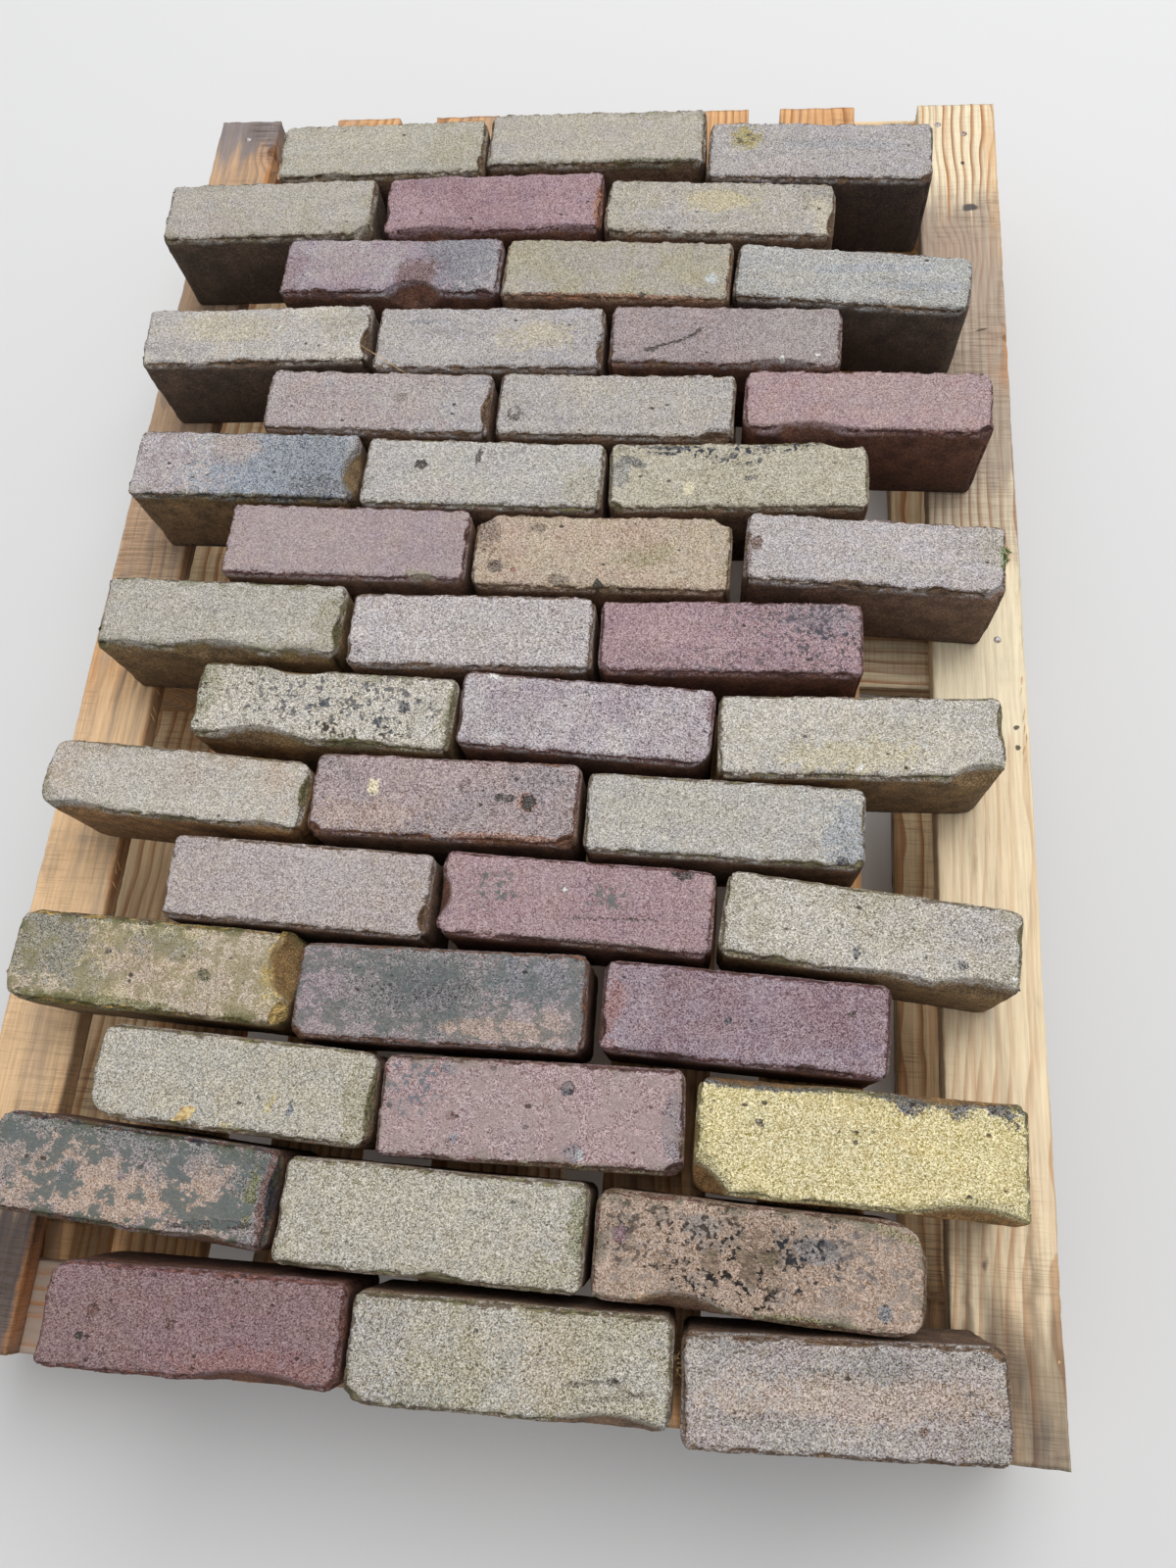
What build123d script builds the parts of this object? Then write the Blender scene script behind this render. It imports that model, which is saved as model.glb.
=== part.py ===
from build123d import *
import os

# Pallet of reclaimed clay paving bricks.
# Frame: millimetres, +Z up, origin on the floor under the middle of the pallet,
# X across the pallet, Y along it. Row 1 of the bricks is at the far end (+Y).

os.makedirs("parts", exist_ok=True)

# Driving dimensions: the pallet
pallet_length = 1200.0
pallet_width = 810.0
deck_board_thickness = 18.0
deck_board_width = 72.0
cross_board_thickness = 18.0
bottom_board_thickness = 18.0
block_height = 78.0
block_width = 80.0
block_length = 92.0
end_cross_board_width = 64.0
middle_cross_board_width = 76.0
bottom_board_width = 88.0
sawn_edge = 1.5

# Deck boards from left to right: how far across the board lies, from 0 flush
# with the left edge to 1 flush with the right edge, how much wider it is than
# the size above, and its turn
deck_boards = [
    (0.0, -6.0, 0.0),
    (0.174, -2.0, 0.0),
    (0.320, -3.0, 0.0),
    (0.492, 2.0, 0.0),
    (0.668, 4.0, 0.0),
    (0.818, 4.0, 0.3),
    (1.0, 3.0, 0.0),
]

# Driving dimensions: the bricks, standing on edge
brick_length = 204.0
brick_thickness = 67.0
brick_height = 85.0
row_gap = 5.2
near_margin = 13.5
arris_wear = 2.4
corner_wear = 5.0

# The bricks, row by row from the far end and from left to right.
# Each one: gap to the brick on its left (or from the start of its row),
# how much longer and thicker it is than the size above,
# how far it has slipped towards the far end, and its turn in degrees.
brick_rows = [
    [(-30.0, -3.0, 1.5, 0.0, 0.9), (1.5, 1.0, -0.5, 8.2, 0.0), (1.5, -2.0, 2.0, -13.0, -2.0)],
    [(-27.0, -1.0, 3.0, 0.0, 1.4), (10.0, -1.0, 3.0, 4.2, 1.0), (2.0, 2.0, -3.0, -6.0, -2.7)],
    [(-3.0, 0.0, -2.6, 4.2, -0.6), (1.5, 0.0, 0.0, -2.0, -2.2), (1.5, -2.0, -5.0, -12.5, -5.4)],
    [(-17.0, 6.0, -3.0, -0.5, 1.4), (5.0, -1.0, 1.0, -4.0, -0.3), (4.0, -6.0, -3.0, -2.0, -1.2)],
    [(7.0, -4.0, -2.5, 1.0, -1.4), (5.0, -2.0, -1.0, -1.5, -0.8), (6.0, -2.0, -4.5, 3.8, -0.9)],
    [(1.0, -4.0, 1.0, 8.0, -0.8), (5.0, 1.0, 0.0, 2.0, -1.0), (3.0, 7.0, -2.0, 3.2, 1.5)],
    [(-3.0, 3.0, 2.0, 7.0, -0.7), (3.0, 5.0, 2.5, 1.8, -0.3), (9.0, -3.0, -3.5, 5.8, -2.9)],
    [(5.0, 2.0, -1.0, 8.5, -1.1), (5.0, -6.0, -1.5, 1.2, 0.4), (3.0, -1.0, -3.0, 2.0, 1.0)],
    [(-1.0, 6.0, -3.0, 5.0, -2.2), (2.0, -7.0, -3.0, 3.5, -2.8), (2.0, 5.0, 0.0, -3.5, 1.4)],
    [(-8.0, 10.0, -8.0, 8.5, -3.2), (2.0, 2.0, -1.0, 6.5, -0.4), (3.0, 0.0, -4.0, 0.0, -1.1)],
    [(5.0, 0.0, -2.0, 6.5, -1.7), (5.0, -4.0, -3.0, 5.0, -1.9), (4.0, 2.0, -4.0, -4.5, -5.5)],
    [(0.0, 14.0, 1.5, 13.2, -2.0), (2.0, 7.0, 3.0, 5.0, 0.5), (8.0, -6.0, -2.0, 3.5, -2.0)],
    [(-19.0, 3.0, -1.0, 7.5, -2.1), (2.0, 6.0, 2.5, 3.8, 0.8), (6.0, 11.0, 9.0, -2.8, -1.3)],
    [(20.0, 7.0, -0.5, 12.8, -3.6), (2.0, 5.0, 3.0, 1.0, -0.6), (3.0, 8.5, 2.0, -4.0, -1.6)],
    [(-19.0, 3.0, 0.0, 0.0, 0.6), (2.0, 6.0, 0.0, -2.0, 0.4), (4.0, -4.0, 0.0, -4.0, 2.4)],
]

# Bricks with corners worn round, where the others are only broken off by
# corner_wear: row, place in the row, and the radii of the near left,
# near right, far right and far left corners
worn_corners = {
    (1, 1): (14.0, 10.0, 8.0, 12.0),
    (2, 3): (10.0, 16.0, 10.0, 8.0),
    (3, 3): (8.0, 16.0, 12.0, 9.0),
    (5, 3): (16.0, 8.0, 10.0, 8.0),
    (6, 3): (10.0, 8.0, 18.0, 8.0),
    (9, 2): (12.0, 20.0, 8.0, 8.0),
    (9, 3): (8.0, 22.0, 10.0, 8.0),
    (10, 1): (20.0, 8.0, 8.0, 16.0),
    (11, 3): (10.0, 14.0, 12.0, 8.0),
    (12, 1): (20.0, 14.0, 8.0, 16.0),
    (13, 1): (28.0, 8.0, 8.0, 12.0),
    (14, 1): (14.0, 10.0, 10.0, 14.0),
    (14, 3): (10.0, 22.0, 26.0, 10.0),
    (15, 1): (10.0, 8.0, 8.0, 16.0),
}

# Scallops knocked out of the top arrises: row, place in the row, and for each
# scallop where its middle lies along and across the brick, from -1 at the left
# or near side to 1 at the right or far side, then its width and its depth
scallops = {
    (1, 1): [(-0.45, -1.0, 44.0, 5.0)],
    (2, 1): [(0.93, -0.95, 26.0, 8.0)],
    (2, 2): [(-0.55, -1.0, 80.0, 8.0), (0.72, -1.0, 60.0, 6.0)],
    (3, 1): [(0.23, -1.0, 58.0, 14.0)],
    (4, 3): [(0.5, -1.0, 66.0, 8.0)],
    (5, 3): [(-0.45, -1.0, 80.0, 9.0)],
    (6, 1): [(0.98, -0.1, 44.0, 9.5)],
    (6, 3): [(0.84, 1.0, 44.0, 8.0)],
    (7, 1): [(0.66, -1.0, 30.0, 6.0)],
    (7, 3): [(0.95, -0.95, 26.0, 7.0)],
    (8, 1): [(-0.72, -1.0, 66.0, 6.5), (0.0, -1.0, 96.0, 10.0), (0.72, -1.0, 64.0, 6.5)],
    (8, 3): [(-0.97, -0.97, 26.0, 7.0)],
    (9, 1): [(-0.46, -1.0, 88.0, 10.0), (-0.25, 1.0, 60.0, 7.0)],
    (9, 3): [(0.85, -1.0, 60.0, 12.0)],
    (10, 1): [(-0.7, -1.0, 66.0, 7.0), (0.72, -1.0, 56.0, 6.0)],
    (11, 2): [(-0.98, -0.1, 36.0, 8.0)],
    (11, 3): [(0.1, -1.0, 90.0, 6.0), (0.75, -1.0, 80.0, 10.0)],
    (12, 1): [(0.96, 0.35, 56.0, 14.0)],
    (13, 3): [
        (-0.92, -0.94, 56.0, 12.0),
        (0.68, -1.0, 90.0, 9.0),
        (-0.7, 1.0, 130.0, 6.0),
        (0.55, 1.0, 100.0, 6.0),
    ],
    (14, 1): [(0.6, -1.0, 84.0, 6.0)],
    (14, 3): [(-0.45, -1.0, 66.0, 10.0)],
    (15, 1): [(0.45, -1.0, 110.0, 9.0)],
    (15, 2): [(0.65, -1.0, 90.0, 9.0)],
}

# Heights, edges and spacings that follow from the sizes above
block_base = bottom_board_thickness
cross_board_base = block_base + block_height
deck_base = cross_board_base + cross_board_thickness
deck_top = deck_base + deck_board_thickness
left_edge = -pallet_width / 2
near_end = -pallet_length / 2
row_pitch = brick_thickness + row_gap
bond_shift = brick_length / 2
load_width = len(brick_rows[0]) * brick_length + bond_shift
load_left = -load_width / 2

# Pallet: lengthwise deck boards, sawn off flush with the pallet's ends
for number, (share, wider, turn) in enumerate(deck_boards, start=1):
    width = deck_board_width + wider
    board_x = left_edge + width / 2 + share * (pallet_width - width)
    with BuildPart() as deck_board:
        with BuildSketch(Plane.XY.offset(deck_base)):
            with Locations((board_x, 0)):
                Rectangle(width, pallet_length + 2 * width, rotation=turn)
            Rectangle(pallet_width, pallet_length, mode=Mode.INTERSECT)
        extrude(amount=deck_board_thickness)
        chamfer(deck_board.faces().sort_by(Axis.Z)[-1].edges(), sawn_edge)
    deck_board.part.label = f"deck_board_{number}"
    export_step(deck_board.part, f"parts/deck_board_{number}.step")

# Pallet: the places of the three cross boards and of the rows of blocks
cross_boards = {
    "near": (near_end + end_cross_board_width / 2, end_cross_board_width),
    "middle": (0.0, middle_cross_board_width),
    "far": (-near_end - end_cross_board_width / 2, end_cross_board_width),
}
block_rows = {
    "near": near_end + block_length / 2,
    "middle": 0.0,
    "far": -near_end - block_length / 2,
}
block_columns = {
    "left": left_edge + block_width / 2,
    "middle": 0.0,
    "right": -left_edge - block_width / 2,
}
bottom_board_lines = {
    "left": left_edge + bottom_board_width / 2,
    "middle": 0.0,
    "right": -left_edge - bottom_board_width / 2,
}

# Pallet: cross boards that carry the deck
for place, (centre, width) in cross_boards.items():
    with BuildPart() as cross_board:
        with BuildSketch(Plane.XY.offset(cross_board_base)):
            with Locations((0, centre)):
                Rectangle(pallet_width, width)
        extrude(amount=cross_board_thickness)
    cross_board.part.label = f"cross_board_{place}"
    export_step(cross_board.part, f"parts/cross_board_{place}.step")

# Pallet: spacer blocks
for row_place, block_y in block_rows.items():
    for column_place, block_x in block_columns.items():
        with BuildPart() as block:
            with BuildSketch(Plane.XY.offset(block_base)):
                with Locations((block_x, block_y)):
                    Rectangle(block_width, block_length)
            extrude(amount=block_height)
            chamfer(block.edges().filter_by(Axis.Z), sawn_edge)
        block.part.label = f"block_{row_place}_{column_place}"
        export_step(block.part, f"parts/block_{row_place}_{column_place}.step")

# Pallet: bottom boards that the blocks stand on
for place, board_x in bottom_board_lines.items():
    with BuildPart() as bottom_board:
        with BuildSketch(Plane.XY):
            with Locations((board_x, 0)):
                Rectangle(bottom_board_width, pallet_length)
        extrude(amount=bottom_board_thickness)
    bottom_board.part.label = f"bottom_board_{place}"
    export_step(bottom_board.part, f"parts/bottom_board_{place}.step")

# Load: a scallop is what a ball cuts when it sinks into an arris or a corner.
# The ball comes more from the side than from above, as far as scallop_rise says.
end_zone = 0.88
scallop_rise = 0.5


def ball_for(length, thickness, along, across, wide, deep):
    """Centre and radius of the ball, measured from the middle of the brick's base."""
    radius = (wide**2 / 4 + deep**2) / (2 * deep)
    sideways = along if abs(along) > end_zone else 0.0
    forward = across if abs(across) > end_zone else 0.0
    outward = Vector(sideways, forward, scallop_rise).normalized()
    middle = Vector(along * length / 2, across * thickness / 2, brick_height)
    return middle + outward * (radius - deep), radius


# Load: bricks on edge, each row half a brick to the side of the one before
corner_signs = [(-1, -1), (1, -1), (1, 1), (-1, 1)]

for number, row in enumerate(brick_rows, start=1):
    rows_in_front = len(brick_rows) - number
    row_line = near_end + near_margin + brick_thickness / 2 + rows_in_front * row_pitch
    left_end = load_left + (bond_shift if number % 2 else 0.0)
    row_bricks = []
    for place, (gap, longer, thicker, slip, turn) in enumerate(row, start=1):
        length = brick_length + longer
        thickness = brick_thickness + thicker
        left_end = left_end + gap
        brick_plane = Plane(origin=(left_end + length / 2, row_line + slip, deck_top)).rotated((0, 0, turn))
        with BuildPart() as brick:
            with BuildSketch(brick_plane) as outline:
                Rectangle(length, thickness)
                if (number, place) in worn_corners:
                    for (side, end), radius in zip(corner_signs, worn_corners[number, place]):
                        corner = (side * length / 2, end * thickness / 2)
                        fillet(outline.vertices().sort_by_distance(corner)[0], radius)
                else:
                    chamfer(outline.vertices(), corner_wear)
            extrude(amount=brick_height)
            brick_faces = brick.faces().sort_by(Axis.Z)
            chamfer(brick_faces[-1].edges() + brick_faces[0].edges(), arris_wear)
            for scallop in scallops.get((number, place), []):
                centre, radius = ball_for(length, thickness, *scallop)
                with Locations(brick_plane.location * Location(centre)):
                    Sphere(radius, mode=Mode.SUBTRACT)
        row_bricks.append(brick.part)
        left_end = left_end + length
    with BuildPart() as brick_row:
        add(row_bricks)
    brick_row.part.label = f"brick_row_{number:02d}"
    export_step(brick_row.part, f"parts/brick_row_{number:02d}.step")
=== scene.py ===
# %% [markdown]
# # A pallet of reclaimed clay pavers
# One course of street bricks stands on edge on a light wooden pallet. The bricks are a
# hundred years old: round at the corners, chipped along the arrises, each fired to a
# shade of its own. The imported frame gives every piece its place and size. This lesson
# gives each piece its worn shape and its finish.

# %% Load the frame
import math

import bmesh
import bpy
import numpy as np
from mathutils import Matrix, Vector


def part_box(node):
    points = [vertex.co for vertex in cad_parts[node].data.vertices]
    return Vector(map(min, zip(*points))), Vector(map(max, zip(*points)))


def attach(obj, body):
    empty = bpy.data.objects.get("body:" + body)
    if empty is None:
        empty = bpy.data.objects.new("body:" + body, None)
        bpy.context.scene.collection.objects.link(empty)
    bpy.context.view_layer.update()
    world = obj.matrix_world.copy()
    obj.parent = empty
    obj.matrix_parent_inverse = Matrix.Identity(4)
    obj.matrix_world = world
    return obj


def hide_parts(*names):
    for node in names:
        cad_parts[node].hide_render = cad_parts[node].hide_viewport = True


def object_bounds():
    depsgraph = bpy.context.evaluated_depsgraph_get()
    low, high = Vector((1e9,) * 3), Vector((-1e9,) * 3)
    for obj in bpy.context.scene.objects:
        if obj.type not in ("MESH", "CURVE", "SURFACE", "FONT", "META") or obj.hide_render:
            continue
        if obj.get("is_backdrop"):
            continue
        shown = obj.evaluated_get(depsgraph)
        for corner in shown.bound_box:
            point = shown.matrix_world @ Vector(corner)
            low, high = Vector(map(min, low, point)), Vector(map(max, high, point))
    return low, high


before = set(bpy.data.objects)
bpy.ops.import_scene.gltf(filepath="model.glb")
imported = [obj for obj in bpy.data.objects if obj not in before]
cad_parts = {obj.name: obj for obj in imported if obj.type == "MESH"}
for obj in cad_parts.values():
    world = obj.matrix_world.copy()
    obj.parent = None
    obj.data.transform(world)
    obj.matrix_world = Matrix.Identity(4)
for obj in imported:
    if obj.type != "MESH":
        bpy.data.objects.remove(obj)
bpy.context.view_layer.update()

# %% [markdown]
# ## The camera
# The photograph was taken from above the near end of the pallet, looking down and a
# little forward. The lens length follows from the width of the picture, and the three
# angles from the directions of the pallet's edges. Making the camera first means that
# every later picture can be laid beside the photograph.

# %% Camera
SENSOR_WIDTH = 36.0
LENS = 25.08
CAMERA_PLACE = (0.1509, -0.4290, 0.9760)
CAMERA_TURN = (19.18, 5.18, 4.436)

camera_data = bpy.data.cameras.new("camera")
camera_data.sensor_width = SENSOR_WIDTH
camera_data.lens = LENS
camera = bpy.data.objects.new("camera", camera_data)
camera.location = CAMERA_PLACE
camera.rotation_euler = [math.radians(angle) for angle in CAMERA_TURN]
bpy.context.scene.collection.objects.link(camera)
bpy.context.scene.camera = camera
print("camera", round(camera.location.z, 3), "m above the floor")

# %% [markdown]
# ## Sums with sockets
# Both shader nodes and geometry nodes do their sums one node at a time, which reads
# badly as code. A small class wraps a socket so that Python's own operators add the
# nodes: `1 - mask * 0.5` becomes two Math nodes. Vectors and colours go through Vector
# Math, because a Math node would turn a colour grey.

# %% A socket that can be added and multiplied


class Socket:
    """An output of a node, ready for sums."""

    def __init__(self, graph, output):
        self.graph = graph
        self.output = output

    def also(self, key):
        """Another output of the same node."""
        return Socket(self.graph, self.graph.pick(self.output.node.outputs, key))

    def part(self, axis):
        return self.graph.add("ShaderNodeSeparateXYZ", inputs={"Vector": self}, out=axis)

    def __add__(self, other):
        return self.graph.sums("ADD", self, other)

    def __radd__(self, other):
        return self.graph.sums("ADD", other, self)

    def __sub__(self, other):
        return self.graph.sums("SUBTRACT", self, other)

    def __rsub__(self, other):
        return self.graph.sums("SUBTRACT", other, self)

    def __mul__(self, other):
        return self.graph.sums("MULTIPLY", self, other)

    def __rmul__(self, other):
        return self.graph.sums("MULTIPLY", other, self)

    def __truediv__(self, other):
        return self.graph.sums("DIVIDE", self, other)

    def __neg__(self):
        return self.graph.sums("MULTIPLY", self, -1.0)

    def __pow__(self, other):
        return self.graph.sums("POWER", self, other)


class Graph:
    """A node tree with one way to add a node."""

    def __init__(self, tree):
        self.tree = tree

    @staticmethod
    def pick(sockets, key):
        """The socket with this number, identifier or name."""
        if isinstance(key, int):
            return sockets[key]
        named = [s for s in sockets if s.identifier == key]
        named += [s for s in sockets if s.name == key and s.enabled]
        return named[0]

    def feed(self, socket, value):
        """Links another socket to this one, or gives this one a value."""
        if isinstance(value, Socket):
            self.tree.links.new(value.output, socket)
        elif socket.type in ("VECTOR", "RGBA") and isinstance(value, (int, float)):
            socket.default_value = (value,) * len(socket.default_value)
        elif socket.type == "RGBA" and len(value) == 3:
            socket.default_value = (*value, 1.0)
        else:
            socket.default_value = value

    def add(self, kind, settings=None, inputs=None, out=0):
        """A new node: its kind, its settings, what its sockets get, and the output wanted."""
        node = self.tree.nodes.new(kind)
        for name, value in (settings or {}).items():
            setattr(node, name, value)
        for key, value in (inputs or {}).items():
            self.feed(self.pick(node.inputs, key), value)
        return Socket(self, self.pick(node.outputs, out))

    def sums(self, operation, a, b):
        """A Math node for two numbers, Vector Math as soon as one is a vector or a colour."""
        wide = [isinstance(v, (tuple, Vector)) or
                (isinstance(v, Socket) and v.output.type in ("VECTOR", "RGBA")) for v in (a, b)]
        if not any(wide):
            return self.add("ShaderNodeMath", {"operation": operation}, {0: a, 1: b})
        if operation == "MULTIPLY" and not all(wide):
            vector, number = (a, b) if wide[0] else (b, a)
            return self.add("ShaderNodeVectorMath", {"operation": "SCALE"}, {0: vector, "Scale": number})
        return self.add("ShaderNodeVectorMath", {"operation": operation}, {0: a, 1: b})

    def math(self, operation, *values):
        return self.add("ShaderNodeMath", {"operation": operation}, dict(enumerate(values)))

    def attribute(self, name, out="Vector"):
        return self.add("ShaderNodeAttribute", {"attribute_name": name}, out=out)

    def length(self, vector):
        return self.add("ShaderNodeVectorMath", {"operation": "LENGTH"}, {0: vector}, out="Value")

    def step(self, value, start, end):
        """Rises smoothly from 0 at start to 1 at end. With start above end it falls."""
        limits = {"Value": value, "From Min": start, "From Max": end}
        return self.add("ShaderNodeMapRange", {"interpolation_type": "SMOOTHSTEP"}, limits)

    def join(self, x, y, z):
        return self.add("ShaderNodeCombineXYZ", inputs={"X": x, "Y": y, "Z": z})

    def noise(self, place, scale, detail=2.0, roughness=0.5, distortion=0.0):
        values = {"Vector": place, "Scale": scale, "Detail": detail,
                  "Roughness": roughness, "Distortion": distortion}
        return self.add("ShaderNodeTexNoise", inputs=values)

    def cells(self, place, scale, randomness=1.0):
        values = {"Vector": place, "Scale": scale, "Randomness": randomness}
        return self.add("ShaderNodeTexVoronoi", inputs=values)

    def jitter(self, place, scale, by, detail=0.0, roughness=0.5):
        """A place pushed about by a noise, so that what is drawn there gets an uneven border."""
        away = self.noise(place, scale, detail, roughness).also("Color") - (0.5, 0.5, 0.5)
        return place + away * by

    def spot(self, place, centre, size, turn=0.0):
        """How far a place lies from an oval spot: 0 in its middle and 1 on its border."""
        values = {"Vector": place, "Location": centre, "Scale": size,
                  "Rotation": (0, 0, math.radians(turn))}
        return self.length(self.add("ShaderNodeMapping", {"vector_type": "TEXTURE"}, values))

    def blend(self, under, over, mask):
        """The colour under where the mask is 0, and the colour over where it is 1."""
        return self.add("ShaderNodeMix", {"data_type": "RGBA"},
                        {"Factor_Float": mask, "A_Color": under, "B_Color": over}, out="Result_Color")


print("operators ready:", [n for n in dir(Socket) if n.startswith("__r")])

# %% [markdown]
# ## Floor, sky and lamp
# The real light was a grey sky: soft, with a little more of it from the far side, so the
# near faces of the bricks lie in shade. A pale world and one very large lamp do the same,
# and together they light a level face so that a colour looks as it is written. The floor
# is a plain pale sheet to the eye, but throws little light up under the bricks: Light
# Path tells the two apart. The sky is likewise white to the eye and weaker as a light.

# %% The studio
FLOOR_SIZE = 30.0
FLOOR_SEEN = 0.80
FLOOR_LIT = 0.22
SKY_SEEN = 0.95
SKY_STRENGTH = 0.50
SKY_COLOUR = (0.985, 0.99, 1.0, 1)
LAMP_SIZE = 4.0
LAMP_WATTS = 176.0
LAMP_PLACE = (0.9, 2.3, 4.7)
LAMP_AIM = (0, 0, 0.2)


def looked_at(graph):
    """1 for a ray from the eye, a reflection or through glass, 0 for light on its way."""
    path = graph.add("ShaderNodeLightPath", out="Is Camera Ray")
    mirrored = graph.math("MAXIMUM", path.also("Is Glossy Ray"), path.also("Is Transmission Ray"))
    return graph.math("MAXIMUM", path, mirrored)


floor_mesh = bpy.data.meshes.new("floor")
half_floor = FLOOR_SIZE / 2
floor_corners = [(-half_floor, -half_floor, 0), (half_floor, -half_floor, 0),
                 (half_floor, half_floor, 0), (-half_floor, half_floor, 0)]
floor_mesh.from_pydata(floor_corners, [], [(0, 1, 2, 3)])
floor = bpy.data.objects.new("floor", floor_mesh)
bpy.context.scene.collection.objects.link(floor)
floor_paint = bpy.data.materials.new("floor_paint")
floor_paint.use_nodes = True
floor_graph = Graph(floor_paint.node_tree)
floor_shader = floor_paint.node_tree.nodes["Principled BSDF"]
floor_colour = floor_graph.blend((FLOOR_LIT,) * 3, (FLOOR_SEEN,) * 3, looked_at(floor_graph))
floor_graph.feed(floor_shader.inputs["Base Color"], floor_colour)
floor_shader.inputs["Roughness"].default_value = 0.9
floor_mesh.materials.append(floor_paint)
floor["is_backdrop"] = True

sky = bpy.data.worlds.new("sky")
sky.use_nodes = True
sky_graph = Graph(sky.node_tree)
sky_light = sky.node_tree.nodes["Background"]
sky_light.inputs["Color"].default_value = SKY_COLOUR
sky_graph.feed(sky_light.inputs["Strength"],
               SKY_STRENGTH + (SKY_SEEN - SKY_STRENGTH) * looked_at(sky_graph))
bpy.context.scene.world = sky

lamp_data = bpy.data.lights.new("lamp", "AREA")
lamp_data.size = LAMP_SIZE
lamp_data.energy = LAMP_WATTS
lamp = bpy.data.objects.new("lamp", lamp_data)
lamp.location = LAMP_PLACE
lamp.rotation_euler = (Vector(LAMP_PLACE) - Vector(LAMP_AIM)).to_track_quat("Z", "Y").to_euler()
bpy.context.scene.collection.objects.link(lamp)
bpy.context.scene.view_settings.view_transform = "Standard"
print("sky", SKY_STRENGTH, "lamp", LAMP_WATTS, "W")

# %% [markdown]
# ## Trees that make shapes
# A Geometry Nodes tree is built once and run on many pieces with other inputs. Each
# tree here starts from the mesh it is run on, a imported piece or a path, and ends in
# Realize Instances and Set Material. Its result is copied out as a plain mesh, so no
# modifier is left on a finished piece.

# %% Geometry trees and how to run them
SOCKET_KINDS = {"float": "NodeSocketFloat", "int": "NodeSocketInt", "vector": "NodeSocketVector",
                "material": "NodeSocketMaterial", "geometry": "NodeSocketGeometry"}


class ShapeTree(Graph):
    """A Geometry Nodes tree with named inputs."""

    def __init__(self, name):
        super().__init__(bpy.data.node_groups.new(name, "GeometryNodeTree"))
        self.start = self.tree.nodes.new("NodeGroupInput")
        self.shape = self.input("Shape", "geometry")

    def input(self, name, kind, value=None):
        socket = self.tree.interface.new_socket(name=name, in_out="INPUT",
                                                socket_type=SOCKET_KINDS[kind])
        if value is not None:
            socket.default_value = value
        return Socket(self, self.pick(self.start.outputs, socket.identifier))

    def move(self, mesh, position):
        return self.add("GeometryNodeSetPosition", inputs={"Geometry": mesh, "Position": position})

    def push(self, mesh, offset):
        return self.add("GeometryNodeSetPosition", inputs={"Geometry": mesh, "Offset": offset})

    def store(self, mesh, name, value, kind="FLOAT"):
        return self.add("GeometryNodeStoreNamedAttribute", {"data_type": kind, "domain": "POINT"},
                        {"Geometry": mesh, "Name": name, "Value": value})

    def named(self, name, kind="FLOAT"):
        return self.add("GeometryNodeInputNamedAttribute", {"data_type": kind}, {"Name": name})

    def position(self):
        return self.add("GeometryNodeInputPosition")

    def normal(self):
        return self.add("GeometryNodeInputNormal")

    def transform(self, mesh, **changes):
        return self.add("GeometryNodeTransform", inputs={"Geometry": mesh, **changes})

    def packed_solid(self, middle, turn):
        """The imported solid, brought to the middle and turned square."""
        home = self.transform(self.shape, Translation=-middle)
        return self.transform(home, Rotation=self.join(0.0, 0.0, -turn))

    def fine_block(self, cuts):
        """A block from -1 to 1, cut into small faces."""
        return self.add("GeometryNodeMeshCube", inputs={
            "Size": (2, 2, 2), "Vertices X": cuts[0], "Vertices Y": cuts[1], "Vertices Z": cuts[2]})

    def nearest_on(self, solid):
        """The place on a solid's faces that is nearest to a point."""
        return self.add("GeometryNodeProximity", {"target_element": "FACES"},
                        {"Target": solid, "Source Position": self.position()})

    def gaps(self, half):
        """How far a point lies from the faces at the ends, at the sides, and above or below."""
        here = self.position()
        return [half.part(axis) - self.math("ABSOLUTE", here.part(axis)) for axis in range(3)]

    def to_arris(self, gaps):
        """How far a point lies from the nearest arris: the middle one of its three gaps."""
        largest = self.math("MAXIMUM", self.math("MAXIMUM", gaps[0], gaps[1]), gaps[2])
        smallest = self.math("MINIMUM", self.math("MINIMUM", gaps[0], gaps[1]), gaps[2])
        return gaps[0] + gaps[1] + gaps[2] - largest - smallest

    def bring_back(self, mesh, middle, turn):
        """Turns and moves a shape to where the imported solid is, and shades it smooth."""
        mesh = self.transform(mesh, Rotation=self.join(0.0, 0.0, turn), Translation=middle)
        return self.add("GeometryNodeSetShadeSmooth", inputs={"Geometry": mesh})

    def end(self, mesh):
        self.tree.interface.new_socket(name="Shape", in_out="OUTPUT",
                                       socket_type="NodeSocketGeometry")
        material = self.input("Material", "material")
        real = self.add("GeometryNodeRealizeInstances", inputs={"Geometry": mesh})
        dressed = self.add("GeometryNodeSetMaterial", inputs={"Geometry": real, "Material": material})
        finish = self.tree.nodes.new("NodeGroupOutput")
        self.tree.links.new(dressed.output, finish.inputs[0])
        return self.tree


def grow(name, tree, values, mesh):
    """Runs a tree on a mesh and returns the result as a plain object."""
    piece = bpy.data.objects.new(name, mesh)
    bpy.context.scene.collection.objects.link(piece)
    modifier = piece.modifiers.new("shape", "NODES")
    modifier.node_group = tree
    identifiers = {item.name: item.identifier for item in tree.interface.items_tree
                   if item.in_out == "INPUT"}
    for key, value in values.items():
        modifier[identifiers[key]] = value
    bpy.context.view_layer.update()
    evaluated = piece.evaluated_get(bpy.context.evaluated_depsgraph_get())
    plain = bpy.data.meshes.new_from_object(evaluated)
    piece.modifiers.remove(modifier)
    piece.data = plain
    plain.name = name
    return piece


def triangles(piece):
    return sum(len(face.vertices) - 2 for face in piece.data.polygons)


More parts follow.
